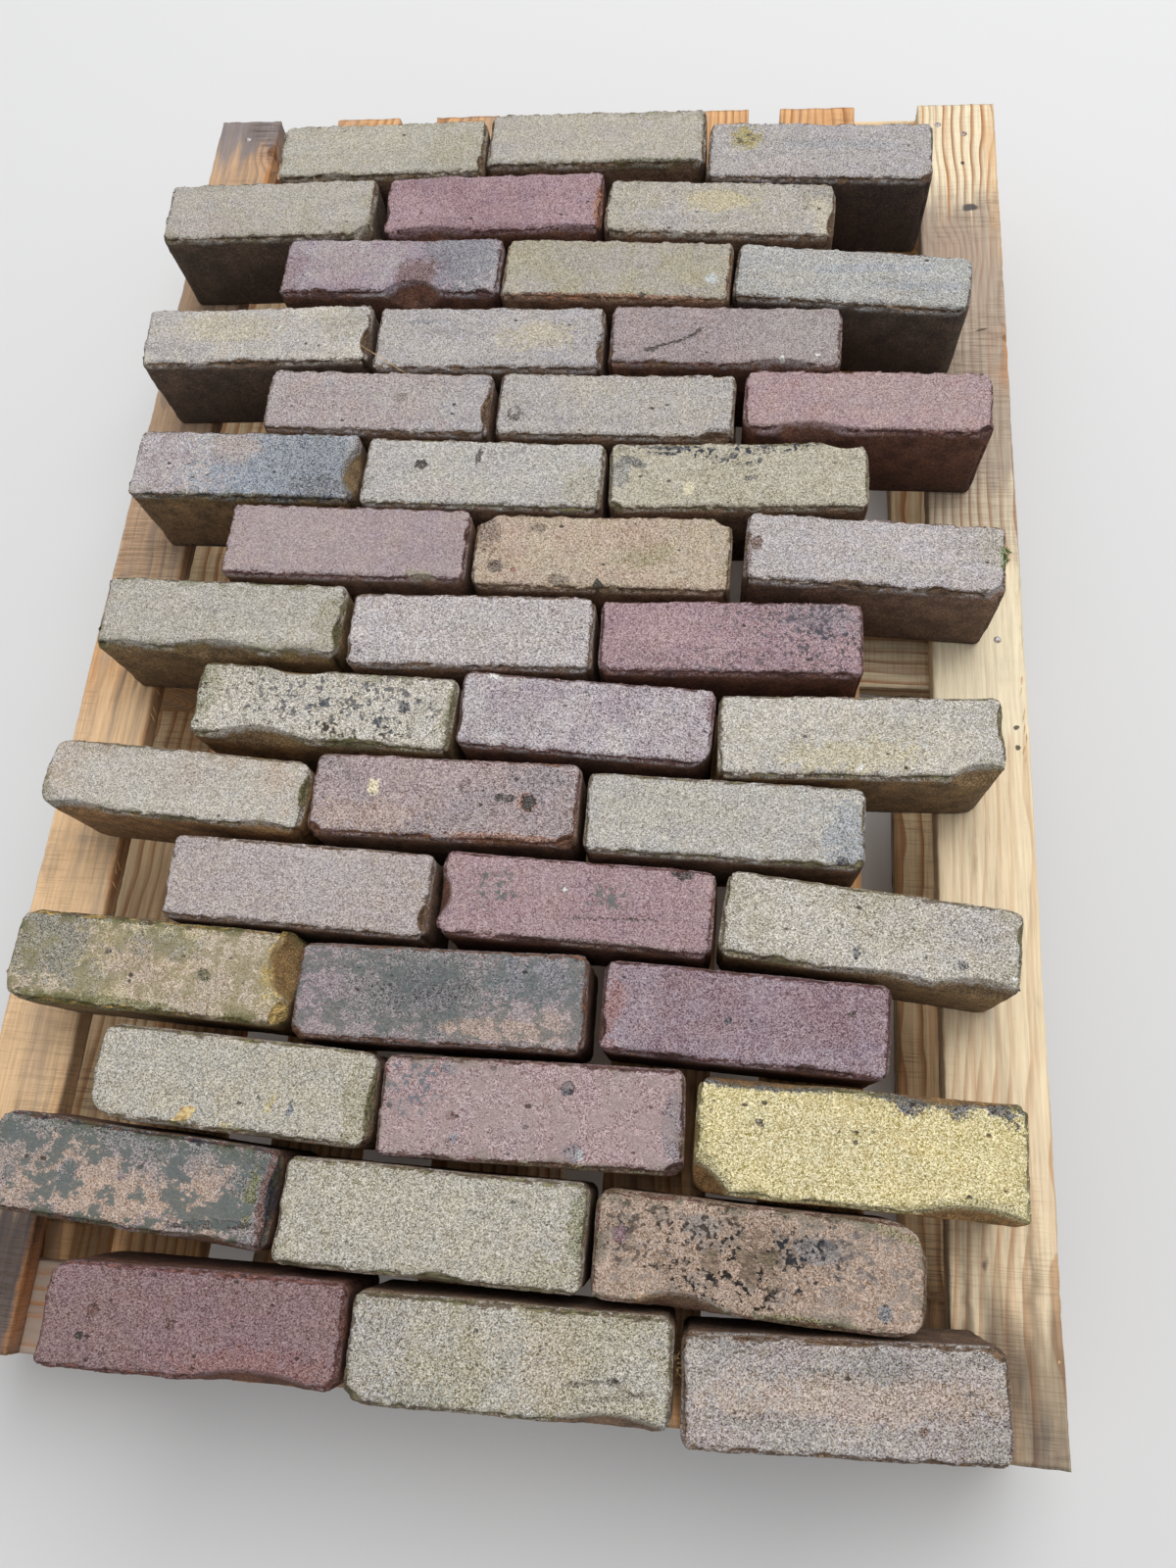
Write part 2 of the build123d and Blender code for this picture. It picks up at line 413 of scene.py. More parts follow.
print("socket kinds:", sorted(SOCKET_KINDS))

# %% [markdown]
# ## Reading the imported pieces
# A row of bricks is packed as one node with three solids in it. The node's mesh is
# split into its solids, and each one is measured: where its middle is, how far it is
# turned, and how long, wide and high it is in its own directions. Every worn shape
# below starts from these measures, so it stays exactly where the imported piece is.

# %% Split and measure solids
MERGE_DISTANCE = 1e-5
AREA_TOLERANCE = 1e-9


def solids_of(node):
    """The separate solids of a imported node, as meshes, from left to right."""
    whole = bmesh.new()
    whole.from_mesh(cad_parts[node].data)
    bmesh.ops.remove_doubles(whole, verts=whole.verts, dist=MERGE_DISTANCE)
    waiting = set(whole.verts)
    solids = []
    while waiting:
        island = {waiting.pop()}
        border = list(island)
        while border:
            corner = border.pop()
            for edge in corner.link_edges:
                other = edge.other_vert(corner)
                if other in waiting:
                    waiting.remove(other)
                    island.add(other)
                    border.append(other)
        solid = whole.copy()
        solid.verts.ensure_lookup_table()
        kept = {vert.index for vert in island}
        spare = [vert for vert in solid.verts if vert.index not in kept]
        bmesh.ops.delete(solid, geom=spare, context="VERTS")
        mesh = bpy.data.meshes.new(node)
        solid.to_mesh(mesh)
        solid.free()
        solids.append(mesh)
    whole.free()
    return sorted(solids, key=lambda mesh: sum(vert.co.x for vert in mesh.vertices) / len(mesh.vertices))


def axes_at(angle):
    return np.array([[math.cos(angle), -math.sin(angle)], [math.sin(angle), math.cos(angle)]])


def measure(mesh):
    """Middle, half size along its own directions, and turn of a box-like solid."""
    points = np.array([vert.co for vert in mesh.vertices])
    runs = [(points[edge.vertices[1]] - points[edge.vertices[0]])[:2] for edge in mesh.edges
            if abs(points[edge.vertices[1]][2] - points[edge.vertices[0]][2]) < MERGE_DISTANCE]
    # the turn is the one at which the solid's box, seen from above, is smallest
    smallest = math.inf
    for run in runs:
        if np.hypot(*run) == 0:
            continue
        tried = math.atan2(run[1], run[0])
        size = np.ptp(points[:, :2] @ axes_at(tried), axis=0)
        if np.prod(size) < smallest - AREA_TOLERANCE:
            smallest = np.prod(size)
            angle = tried if size[0] >= size[1] else tried + math.pi / 2
    angle = (angle + math.pi / 4) % math.pi - math.pi / 4
    axes = axes_at(angle)
    turned = points[:, :2] @ axes
    low, high = turned.min(0), turned.max(0)
    centre = axes @ ((low + high) / 2)
    floor_z, top_z = points[:, 2].min(), points[:, 2].max()
    middle = (centre[0], centre[1], (floor_z + top_z) / 2)
    half = ((high[0] - low[0]) / 2, (high[1] - low[1]) / 2, (top_z - floor_z) / 2)
    return middle, half, angle


brick_rows = sorted(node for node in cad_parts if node.startswith("brick_row"))
sample = solids_of(brick_rows[0])
print(len(brick_rows), "rows; the first brick measures", [round(v, 4) for v in measure(sample[0])[1]])

# %% [markdown]
# ## How a brick gets round
# A new brick is a plain block, and years of handling round its corners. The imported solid
# has few faces, so a block of fine ones is made first, closer together near the arrises
# where the wear is. Its four upright corners are rounded by a rule, and a blur of the
# points' places then softens every arris.

# %% Fine faces, round corners and soft arrises
TINY = 1e-5


def brick_block(tree, half, cuts):
    """A block of fine faces, closer together near the arrises and near the top."""
    block = tree.fine_block(cuts)
    unit = tree.position()
    spread = [unit.part(axis) * even + tree.math("SINE", unit.part(axis) * (math.pi / 2)) * (1 - even)
              for axis, even in ((0, 0.8), (1, 0.35))]
    down = tree.math("MAXIMUM", 0.5 - unit.part(2) * 0.5, 0.0)
    spread.append(1.0 - 2.0 * down ** 1.5)
    return tree.move(block, tree.join(*spread) * half)


def round_corners(tree, block, gaps, corner, seed):
    """Wears the four upright corners round, each by its own amount."""
    here = tree.position()
    facing = tree.join(tree.math("SIGN", here.part(0)), tree.math("SIGN", here.part(1)), 0.0)
    own = tree.noise(facing * 0.37 + tree.join(0.0, 0.0, seed * 0.31), 9.0, 0.0)
    round_by = corner * (0.5 + own)
    beyond = [tree.math("MAXIMUM", round_by - gaps[axis], 0.0) for axis in (0, 1)]
    reach = tree.length(tree.join(*beyond, 0.0))
    excess = tree.math("MAXIMUM", reach - round_by, 0.0) / tree.math("MAXIMUM", reach, TINY)
    return tree.push(block, facing * tree.join(*beyond, 0.0) * -excess)


def soften(tree, block, to_arris, softness):
    """Rounds the arrises: there each point moves to the mean of its neighbours."""
    soft = tree.add("GeometryNodeBlurAttribute", {"data_type": "FLOAT_VECTOR"},
                    {"Value": tree.position(), "Iterations": softness,
                     "Weight": tree.step(to_arris, 0.012, 0.003)})
    return tree.move(block, soft)


print("a brick is rounded by", round_corners.__name__, "and", soften.__name__)

# %% [markdown]
# ## How a brick breaks
# Arrises are nibbled, flaked and knocked off. Wear is a push against the normal, by
# noises that count most near an arris. A scallop is cut by a ball: the points inside it
# move out to its surface. Nothing is ever added, so a brick stays inside its packed
# solid and clear of its neighbours. How much was broken off is kept on the points,
# because fresh clay has another shade.

# %% Wear and scallops
WAVE_PER_METRE = 16.0
LUMP_PER_METRE = 50.0
FLAKE_PER_METRE = 105.0
TOOTH_PER_METRE = 260.0
GRIT_PER_METRE = 330.0
NIBBLE_REACH = 0.007
FLAKE_REACH = 0.0052
TOOTH_REACH = 0.005
TEETH = 0.0014
GRIT = 0.00035


def wear_off(tree, block, drift, across, bed, waviness, nibble):
    """Takes a slow wave off everywhere, and nibbles, flakes and teeth off the arrises."""
    rim = tree.named("to_arris")
    wave = tree.step(tree.noise(drift, WAVE_PER_METRE, 2.0), 0.3, 0.75) * waviness
    lumps = tree.noise(drift, LUMP_PER_METRE, 4.0, 0.65)
    nibble = nibble * (0.5 + 0.6 * tree.step(across, 0.3, -0.7))
    nibbled = tree.step(lumps, 0.49, 0.60) * tree.step(rim, NIBBLE_REACH, 0.0) * nibble
    flakes = tree.cells(tree.jitter(drift, 150.0, 0.008, 2.0), FLAKE_PER_METRE).also("Color").part(0)
    flaked = tree.step(flakes, 0.50, 0.56) * tree.step(rim, FLAKE_REACH, 0.0016) * nibble * 0.6
    teeth = tree.step(tree.noise(drift, TOOTH_PER_METRE, 3.0, 0.7), 0.40, 0.62)
    teeth = teeth * tree.step(rim, TOOTH_REACH, 0.0) * TEETH
    grit = tree.step(tree.noise(drift, GRIT_PER_METRE, 2.0, 0.6), 0.35, 0.7) * GRIT
    off = (wave + nibbled + flaked + teeth + grit) * bed
    block = tree.push(block, tree.normal() * -off)
    return tree.store(block, "broken", tree.step(nibbled + flaked, nibble * 0.35, nibble * 0.9))


def knock_out(tree, block, drift, bed, ball_place, ball_radius):
    """Pushes the points inside a ragged ball out to its surface, which leaves a scallop."""
    away = tree.position() - ball_place
    distance = tree.length(away)
    ragged = tree.noise(drift, 70.0, 4.0, 0.65) - 0.5
    rough = ball_radius + ragged * tree.math("MINIMUM", ball_radius * 0.12, 0.006)
    inside = tree.math("GREATER_THAN", rough, distance) * bed
    depth = tree.math("MAXIMUM", (rough - distance) * inside, 0.0)
    marked = tree.math("MAXIMUM", tree.named("broken"), tree.step(depth, 0.0, 0.0015))
    block = tree.store(block, "broken", marked)
    return tree.push(block, away * (depth / tree.math("MAXIMUM", distance, TINY)))


def keep_inside(tree, block, home, half):
    """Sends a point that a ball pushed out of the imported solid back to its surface."""
    held = tree.sums("MAXIMUM", tree.sums("MINIMUM", tree.position(), half), -half)
    block = tree.move(block, held)
    skin = tree.nearest_on(home)
    outwards = tree.add("GeometryNodeSampleNearestSurface", {"data_type": "FLOAT_VECTOR"},
                        {"Mesh": home, "Value": tree.normal(), "Sample Position": tree.position()})
    past = tree.add("ShaderNodeVectorMath", {"operation": "DOT_PRODUCT"},
                    {0: tree.position() - skin, 1: outwards}, out="Value")
    return tree.push(block, (skin - tree.position()) * tree.math("GREATER_THAN", past, 0.0))


print("a brick is broken by", wear_off.__name__, "and", knock_out.__name__)

# %% [markdown]
# ## The tree of a worn brick
# The steps go into one tree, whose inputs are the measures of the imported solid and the
# amounts of wear. A field in Geometry Nodes is worked out anew wherever it is used, so
# what has to stay as it was before the wear is stored on the points: where a point is on
# the brick, how near an arris it is, and how far above the bed.

# %% The worn brick tree
BITES = 4


def make_worn_brick_tree():
    tree = ShapeTree("worn_brick")
    middle = tree.input("Middle", "vector", (0, 0, 0))
    half = tree.input("Half Size", "vector", (0.1, 0.033, 0.042))
    turn = tree.input("Turn", "float", 0.0)
    seed = tree.input("Seed", "float", 0.0)
    cuts = [tree.input(name, "int", count) for name, count in
            (("Cuts Along", 124), ("Cuts Across", 31), ("Cuts Down", 15))]
    softness = tree.input("Softness", "int", 2)
    waviness = tree.input("Waviness", "float", 0.0010)
    nibble = tree.input("Nibble", "float", 0.0022)
    corner = tree.input("Corner", "float", 0.009)
    bites = [(tree.input(f"Bite {n} Place", "vector", (0, 0, 1)),
              tree.input(f"Bite {n} Radius", "float", 0.0)) for n in range(1, BITES + 1)]

    home = tree.packed_solid(middle, turn)
    block = tree.move(brick_block(tree, half, cuts), tree.nearest_on(home))
    gaps = tree.gaps(half)
    to_arris = tree.to_arris(gaps)
    block = tree.store(block, "to_arris", to_arris)
    above = tree.position().part(2) + half.part(2)
    block = tree.store(block, "above_bed", tree.step(above, 0.0, 0.006))
    block = round_corners(tree, block, gaps, corner, seed)
    block = soften(tree, block, to_arris, softness)
    block = tree.store(block, "clay_place", tree.position(), "FLOAT_VECTOR")

    place = tree.named("clay_place", "FLOAT_VECTOR")
    bed = tree.named("above_bed")
    drift = place + tree.join(seed * 0.37, seed * 0.73, seed * 0.19)
    across = place.part(1) / half.part(1)
    block = wear_off(tree, block, drift, across, bed, waviness, nibble)
    for ball_place, ball_radius in bites:
        block = knock_out(tree, block, drift, bed, ball_place, ball_radius)
    block = keep_inside(tree, block, home, half)
    return tree.end(tree.bring_back(block, middle, turn))


worn_brick = make_worn_brick_tree()
print("worn brick tree:", len(worn_brick.nodes), "nodes")

# %% [markdown]
# ## Where a bite sits
# A scallop is what a ball would cut if it sank a little into the arris. Its width and
# depth are easy to judge in the photograph, so the ball is worked out from them. It comes
# more from the side than from above, as a knock does. Places on a brick are given in
# halves of its size: -1 to 1 from the left end to the right, and -1 to 1 from the near
# face to the far face.

# %% From width and depth to a ball
MILLIMETRE = 0.001
SCALLOP_RISE = 0.5


def ball_for(half, along, across, width, depth):
    """The centre and radius of the ball that cuts this scallop, in the brick's own place."""
    outward = Vector((along if abs(along) > 0.88 else 0, across if abs(across) > 0.88 else 0,
                      SCALLOP_RISE)).normalized()
    width, depth = width * MILLIMETRE, depth * MILLIMETRE
    radius = (width * width / 4 + depth * depth) / (2 * depth)
    point = Vector((along * half[0], across * half[1], half[2]))
    return point + outward * (radius - depth), radius


USUAL_HALF = (0.102, 0.0335, 0.0425)
print("a scallop 50 mm wide and 8 mm deep is cut by a ball of radius",
      round(ball_for(USUAL_HALF, 0.3, -1, 50, 8)[1], 4), "m")

# %% [markdown]
# ## The clays
# Street bricks take their colour from the clay and from their place in the kiln: buff,
# grey mauve, dusky red, and slate where the fire was hottest. Each shade is written as
# it looks on a grey day, and turned into the linear numbers that light works with.

# %% Shades of clay, dirt and growth
SHADES = {
    "buff grey": (184, 178, 167), "buff": (188, 180, 162), "beige": (180, 173, 166),
    "stone grey": (186, 182, 176), "pale buff": (197, 190, 180), "lilac grey": (188, 180, 181),
    "warm grey": (168, 161, 157), "grey mauve": (174, 168, 169), "pink beige": (178, 165, 162),
    "tan olive": (170, 162, 140), "tan": (188, 172, 150), "pink tan": (186, 162, 144),
    "rose grey": (174, 157, 156), "mauve": (158, 141, 149), "plum": (140, 114, 113),
    "dusky red": (165, 138, 143), "dark red": (140, 112, 118), "brick red": (158, 108, 98),
    "pink brown": (172, 154, 153), "brown mauve": (156, 144, 144), "pink red": (176, 150, 149),
    "brown orange": (162, 140, 122), "yellow buff": (214, 204, 165), "ochre": (188, 154, 92),
    "yellow": (202, 188, 142), "olive": (146, 138, 100), "grey": (146, 141, 138),
    "slate": (116, 122, 130), "slate green": (104, 112, 110), "slate blue": (142, 152, 165),
    "blue black": (66, 70, 80), "rust": (150, 104, 76), "red brown": (110, 78, 72),
    "soil": (56, 44, 36), "black": (30, 26, 24), "moss": (112, 114, 62), "dark moss": (76, 78, 50),
    "bright moss": (100, 136, 48), "cream": (228, 216, 186), "white": (232, 230, 224),
    "pale blue": (196, 202, 202), "lichen": (164, 150, 92), "cool grey": (175, 175, 173),
    "sulphur": (226, 212, 160), "bright ochre": (222, 186, 112), "rim brown": (134, 104, 76),
    # Of these, the shades for the sides of bricks are soil colours with painted shade in them.
    "burnt red": (128, 70, 54), "damp brown": (124, 99, 81), "damp olive": (134, 110, 78),
    "damp red": (108, 76, 60), "damp tan": (152, 118, 80), "damp dark": (94, 78, 67),
    "damp deep": (72, 56, 46)}


def shade(name, light=1.0):
    """A named shade as linear red, green and blue, made lighter or darker."""
    srgb = [value / 255 for value in SHADES[name]]
    linear = [v / 12.92 if v <= 0.04045 else ((v + 0.055) / 1.055) ** 2.4 for v in srgb]
    return tuple(min(value * light, 1.0) for value in linear)


print(len(SHADES), "shades; buff is", [round(v, 3) for v in shade("buff")])

# %% [markdown]
# ## Marks, and what every finish needs
# A stain is a soft oval whose border is pushed about by noise, so that no two look
# alike. A small one keeps a crisp border, and one with a depth also sinks into the
# relief. One function lays them in the colour and in the relief.

# %% Materials and marks
SMALL_MARK = 16.0
MARK_DEPTH = 0.02


def new_material(name, shine=0.3):
    material = bpy.data.materials.new(name)
    material.use_nodes = True
    shader = material.node_tree.nodes["Principled BSDF"]
    shader.inputs["Specular IOR Level"].default_value = shine
    return material, Graph(material.node_tree), shader


def dress(graph, shader, colour, roughness, height, strength=0.9):
    """Gives a shader its colour, its roughness and its relief."""
    graph.feed(shader.inputs["Base Color"], colour)
    graph.feed(shader.inputs["Roughness"], roughness)
    bump = graph.add("ShaderNodeBump", inputs={"Strength": strength, "Distance": 1.0, "Height": height})
    graph.feed(shader.inputs["Normal"], bump)


def lay_marks(graph, colour, height, place, marks, half, through=1.0):
    """Stains, spots and holes. Each is (along, across, long, wide, shade, strength, turn, sink)."""
    loose = graph.jitter(place, 38.0, 0.030, 1.0, 0.65)
    close = graph.jitter(place, 320.0, 0.005)
    blotches = (graph.noise(place, 170.0, 3.0, 0.85) - 0.5) * 3.4
    for along, across, long, wide, name, strength, *rest in marks:
        turn, sink = (*rest, 0, 0)[:2]
        centre = (along * half[0], across * half[1], half[2])
        size = (long / 2 * MILLIMETRE, wide / 2 * MILLIMETRE, MARK_DEPTH)
        if min(long, wide) > SMALL_MARK:
            mask = graph.step(graph.spot(loose, centre, size, turn) + blotches, 1.3, 0.8) * through
        else:
            mask = graph.step(graph.spot(close, centre, size, turn), 1.15, 0.8) * through
        colour = graph.blend(colour, shade(name), mask * strength)
        if sink:
            height = height - mask * (sink * MILLIMETRE)
    return colour, height


print("a mark up to", SMALL_MARK, "mm long or wide has a crisp border")

# %% [markdown]
# ## What the layers of clay share
# The finish of a brick is made of layers, and each is a short function. Most of them read
# the same few noises and the measures that the worn brick tree kept on the points. A
# small class holds these, so that each noise is worked out once for all layers.

# %% Noises of the clay
CLOUD_PER_METRE = 17.0
PATCH_PER_METRE = 60.0
STREAK_PER_METRE = 95.0
PIT_PER_METRE = 120.0
RAGGED_PER_METRE = 190.0
COARSE_PER_METRE = 380.0
GRAIN_PER_METRE = 1450.0
RELIEF = 0.0019
GRAIN_RELIEF = 0.0003
PIT_DEPTH = 0.0012
RUB_DEPTH = 0.0008
BREAK_RELIEF = 0.0016


class Clay:
    """The places and noises that the layers of one brick share.

    Patchy changes over centimetres and ragged over millimetres. Torn is ragged with hard
    borders. Grains have one random colour each, and lumps are a few grains wide.
    """

    def __init__(self, graph, look, half):
        self.graph = graph
        self.look = look
        self.place = graph.attribute("clay_place")
        self.rim = graph.attribute("to_arris", "Fac")
        self.broken = graph.attribute("broken", "Fac")
        self.depth = half[2] - self.place.part(2)
        seed = look["seed"]
        self.drift = self.place + (seed * 0.37, seed * 0.73, seed * 0.19)
        self.patchy = graph.noise(self.drift, PATCH_PER_METRE, 3.0, 0.7)
        self.ragged = graph.noise(self.drift * (0.55, 1.0, 1.5), RAGGED_PER_METRE, 3.0, 0.85)
        self.torn = graph.step(self.ragged, 0.36, 0.64)
        self.grains = graph.cells(self.drift, GRAIN_PER_METRE).also("Color")
        self.lumps = graph.cells(self.drift, COARSE_PER_METRE).also("Color").part(1)


print("grains are", round(1000 / GRAIN_PER_METRE, 2), "mm across")

# %% [markdown]
# ## Clay from the kiln
# A fired brick is sand held in clay. First come the clouds of the kiln, and faint bands
# from the wire that cut the brick. Over them lies the sand: grains less than a millimetre
# wide, each of another shade. Cells of a Voronoi texture have one flat colour each, which
# is just what a grain has. Here and there is a pit.

# %% Clouds, bands, sand and pits


def kiln_clouds(clay):
    """The clay's own shade, a second one in clouds, and warmer and cooler patches."""
    graph, look = clay.graph, clay.look
    cloud = graph.noise(clay.drift, CLOUD_PER_METRE, 3.0, 0.7)
    colour = graph.blend(shade(look["clay"]), shade(look["second"]),
                         graph.step(cloud, 0.40, 0.62) * look["mottle"])
    warmth = (look["patches"], look["patches"] * 0.6, look["patches"] * -0.5)
    return colour * ((1, 1, 1) + (clay.patchy - 0.5) * warmth)


def wire_bands(clay, colour):
    streak = clay.graph.noise(clay.drift * (0.1, 1.0, 0.6), STREAK_PER_METRE, 2.0, 0.6) - 0.5
    return colour * (1.0 + streak * clay.look["bands"])


def sand_grains(clay, colour):
    """Every grain is lighter or darker, some are yellow, some slate, and a few white as painted glints."""
    graph, look, grains = clay.graph, clay.look, clay.grains
    tone = grains.part(0) * 0.90 + clay.lumps * 0.10 - 0.455
    speckle = 1.0 + tone * look["grain"] * 0.42
    level = sum(shade(look["clay"])) / 3
    colour = graph.add("ShaderNodeVectorMath", {"operation": "MAXIMUM"},
                       {0: colour * speckle + tone * (look["grain"] * level * 0.66), 1: shade("soil")})
    pale_grain = shade("yellow buff") if look["sand"] > 0.2 else shade("pink beige")
    colour = graph.blend(colour, pale_grain, graph.step(grains.part(1), 0.72, 0.95) * look["sand"])
    colour = graph.blend(colour, shade("slate"), graph.step(grains.part(1), 0.25, 0.02) * look["sand"])
    # Painted glints: a few grains are made white, as if they caught the light.
    return graph.blend(colour, shade("white"), graph.step(grains.part(2), 0.93, 0.97) * look["glint"])


def small_pits(clay, colour, height):
    """Pits that are longer along the brick, in a share of the cells."""
    graph, look = clay.graph, clay.look
    pit_cells = graph.cells(clay.drift * (0.7, 1.0, 1.0), PIT_PER_METRE)
    pit_chance = graph.step(pit_cells.also("Color").part(0), look["pits"], look["pits"] * 0.3)
    pit = graph.step(pit_cells / (pit_chance + 0.05) + (clay.ragged - 0.5) * 0.4, 0.18, 0.08) * pit_chance
    return graph.blend(colour, shade("soil"), pit * 0.85), height - pit * PIT_DEPTH


print("fired clay:", [f.__name__ for f in (kiln_clouds, wire_bands, sand_grains, small_pits)])

# %% [markdown]
# ## A century of street
# Soot settles in flecks, and some bricks have veins of another clay. The rims are rubbed
# brown and broken faces show another shade. The sides hold soil with painted shade in it,
# and painted shade darkens them further down, between the bricks. Moss grows where it
# stays wet. The fine noise tears the border of each layer, because no real border is a
# smooth line.

# %% Soot, veins, rims, soil and moss


def soot_flecks(clay, colour):
    flecks = clay.graph.step(clay.ragged + (clay.patchy - 0.5) * 0.8, 0.60, 0.66)
    return clay.graph.blend(colour, shade("blue black"), flecks * clay.look["soot"])


def clay_veins(clay, colour):
    """Veins of another clay."""
    stain, share = clay.look["marble"]
    veins = clay.graph.step(clay.patchy + (clay.ragged - 0.5) * 0.5, 0.49, 0.55)
    return clay.graph.blend(colour, shade(stain) * (0.6 + 0.8 * clay.ragged), veins * share)


def crumbs(clay):
    """Where a spot shows that lies there only in crumbs."""
    mixed = clay.ragged * 0.65 + clay.lumps * 0.35 + (clay.patchy - 0.5) * 0.5
    return clay.graph.step(mixed, 0.55, 0.61)


def rims_soil_and_painted_shade(clay, colour, height):
    """Crumbled rims, broken faces, soil with painted shade on the sides, painted shade deeper down."""
    graph, look, torn = clay.graph, clay.look, clay.torn
    crumbled = graph.step(clay.rim + (clay.ragged - 0.5) * 0.022, 0.0030, 0.0018) * look["rim"]
    rim_tone = graph.blend(shade(look["rim shade"], 0.4), shade(look["rim shade"], 1.5), torn)
    colour = graph.blend(colour, rim_tone, crumbled)
    flaked = graph.step(clay.broken + (torn - 0.5) * 0.7, 0.40, 0.56)
    chip_tone = graph.blend(shade(look["chip"], 0.4), shade(look["chip"], 1.4), torn)
    colour = graph.blend(colour, chip_tone, flaked * 0.85)
    height = height - crumbled * RUB_DEPTH + (flaked + crumbled) * torn * BREAK_RELIEF

    # Soil and painted shade: the sides turn to a soil colour that is also darkened for the shade on them.
    uneven = clay.patchy - 0.5
    soil_and_shade = graph.step(clay.depth + uneven * 0.014, 0.002, 0.008) * look["soil"] * (1.0 - flaked * 0.7)
    dirt = shade(look["side"]) * (0.65 + 0.76 * graph.step(clay.patchy, 0.34, 0.66))
    dirt = dirt * (0.5 + clay.grains.part(0))
    colour = graph.blend(colour, graph.blend(colour * dirt * 2.0, dirt, 0.75), soil_and_shade)
    # Painted shade: darker still further down the sides, between the bricks.
    painted_deep_shade = graph.step(clay.depth + uneven * 0.03, 0.020, 0.085) * 0.5
    return graph.blend(colour, shade("soil", 0.7), painted_deep_shade), height


def moss_growth(clay, colour):
    """Moss in the chips and along wet rims."""
    graph = clay.graph
    wet = graph.math("MAXIMUM", graph.step(clay.rim, 0.014, 0.001), clay.broken)
    clumps = graph.step(clay.patchy + (clay.ragged - 0.5) * 0.5, 0.49, 0.58)
    growth = wet * clumps * clay.look["moss"] * graph.step(clay.depth, 0.05, 0.02)
    green = graph.blend(shade("dark moss"), shade("moss"), clay.grains.part(2))
    return graph.blend(colour, green * (0.3 + 1.4 * clay.ragged), growth)


print("street:", [f.__name__ for f in (soot_flecks, clay_veins, rims_soil_and_painted_shade, moss_growth)])

# %% [markdown]
# ## A finish for fired clay
# One function lays the layers down in their order, with the marks that belong to one
# brick alone in between. A layer that a brick lacks is left out of its material.

# %% The clay finish


def clay_finish(name, look, half):
    material, graph, shader = new_material(name)
    clay = Clay(graph, look, half)
    colour = kiln_clouds(clay)
    height = clay.ragged * RELIEF
    colour, height = lay_marks(graph, colour, height, clay.place, look["marks"], half)
    if look["bands"]:
        colour = wire_bands(clay, colour)
    colour = sand_grains(clay, colour)
    height = height + clay.grains.part(0) * GRAIN_RELIEF
    colour, height = small_pits(clay, colour, height)
    if look["soot"]:
        colour = soot_flecks(clay, colour)
    if look["marble"]:
        colour = clay_veins(clay, colour)
    if look["specks"]:
        colour, height = lay_marks(graph, colour, height, clay.place, look["specks"], half,
                                   through=crumbs(clay))
    colour, height = rims_soil_and_painted_shade(clay, colour, height)
    if look["moss"]:
        colour = moss_growth(clay, colour)
    dress(graph, shader, colour, 0.84 + 0.14 * clay.patchy, height)
    return material


print("a clay finish ready, one material for each brick")

# %% [markdown]
# ## Forty-five bricks, one by one
# The rows are counted from the far end, and the bricks in a row from the left, as they
# are read in the photograph. Only what sets a brick apart is written down. A mark is
# its place along and across the brick, its length and width in millimetres, its shade
# and its strength, then its turn in degrees and how far it sinks. A bite is its place,
# its width and its depth.

# %% What the bricks have in common
# Side and soil set the colour of a brick's sides: soil, darkened further as painted shade.
PLAIN = {"second": "warm grey", "mottle": 0.35, "patches": 0.25, "grain": 1.5, "sand": 0.22,
         "glint": 0.30, "pits": 0.10, "soot": 0.0, "bands": 0.25, "rim": 0.75, "rim shade": "rim brown",
         "chip": "rim brown", "soil": 0.95, "side": "damp brown", "moss": 0.0, "nibble": 2.4,
         "softness": 2, "corner": 9.0, "marble": None, "marks": [], "specks": [], "bites": []}
RED = {"sand": 0.08, "glint": 0.15, "side": "damp red", "chip": "red brown", "rim shade": "burnt red"}
LOOKS = {}


def brick(name, clay, *kinds, **details):
    """One brick: its clay, what it shares with its kind, and what is its own."""
    LOOKS[name] = {**PLAIN, "clay": clay}
    for kind in (*kinds, details):
        LOOKS[name].update(kind)


print("every brick has", len(PLAIN), "settings, of which a red one changes", len(RED))

# %% [markdown]
# ## The far rows
# These bricks are seen small and at a flat angle, so large stains and the outline of the
# near arris say most about them.

# %% Rows 1 to 5
brick("01_1", "buff grey", second="tan olive", mottle=0.4, moss=0.4, nibble=3.4, grain=1.22,
      marks=[(0.7, -0.1, 60, 40, "tan olive", 0.5), (-0.2, 0.5, 90, 26, "buff", 0.5)],
      bites=[(-0.45, -1, 44, 5), (0.35, -1, 60, 4), (0.98, -0.6, 22, 4)])
brick("01_2", "beige", second="buff", mottle=0.5, moss=0.5, nibble=2.8, grain=1.22,
      marks=[(-0.1, 0.7, 120, 20, "buff", 0.5), (0.5, -0.95, 90, 10, "dark moss", 0.7)],
      bites=[(0.1, -1, 90, 4), (0.8, -1, 40, 5)])
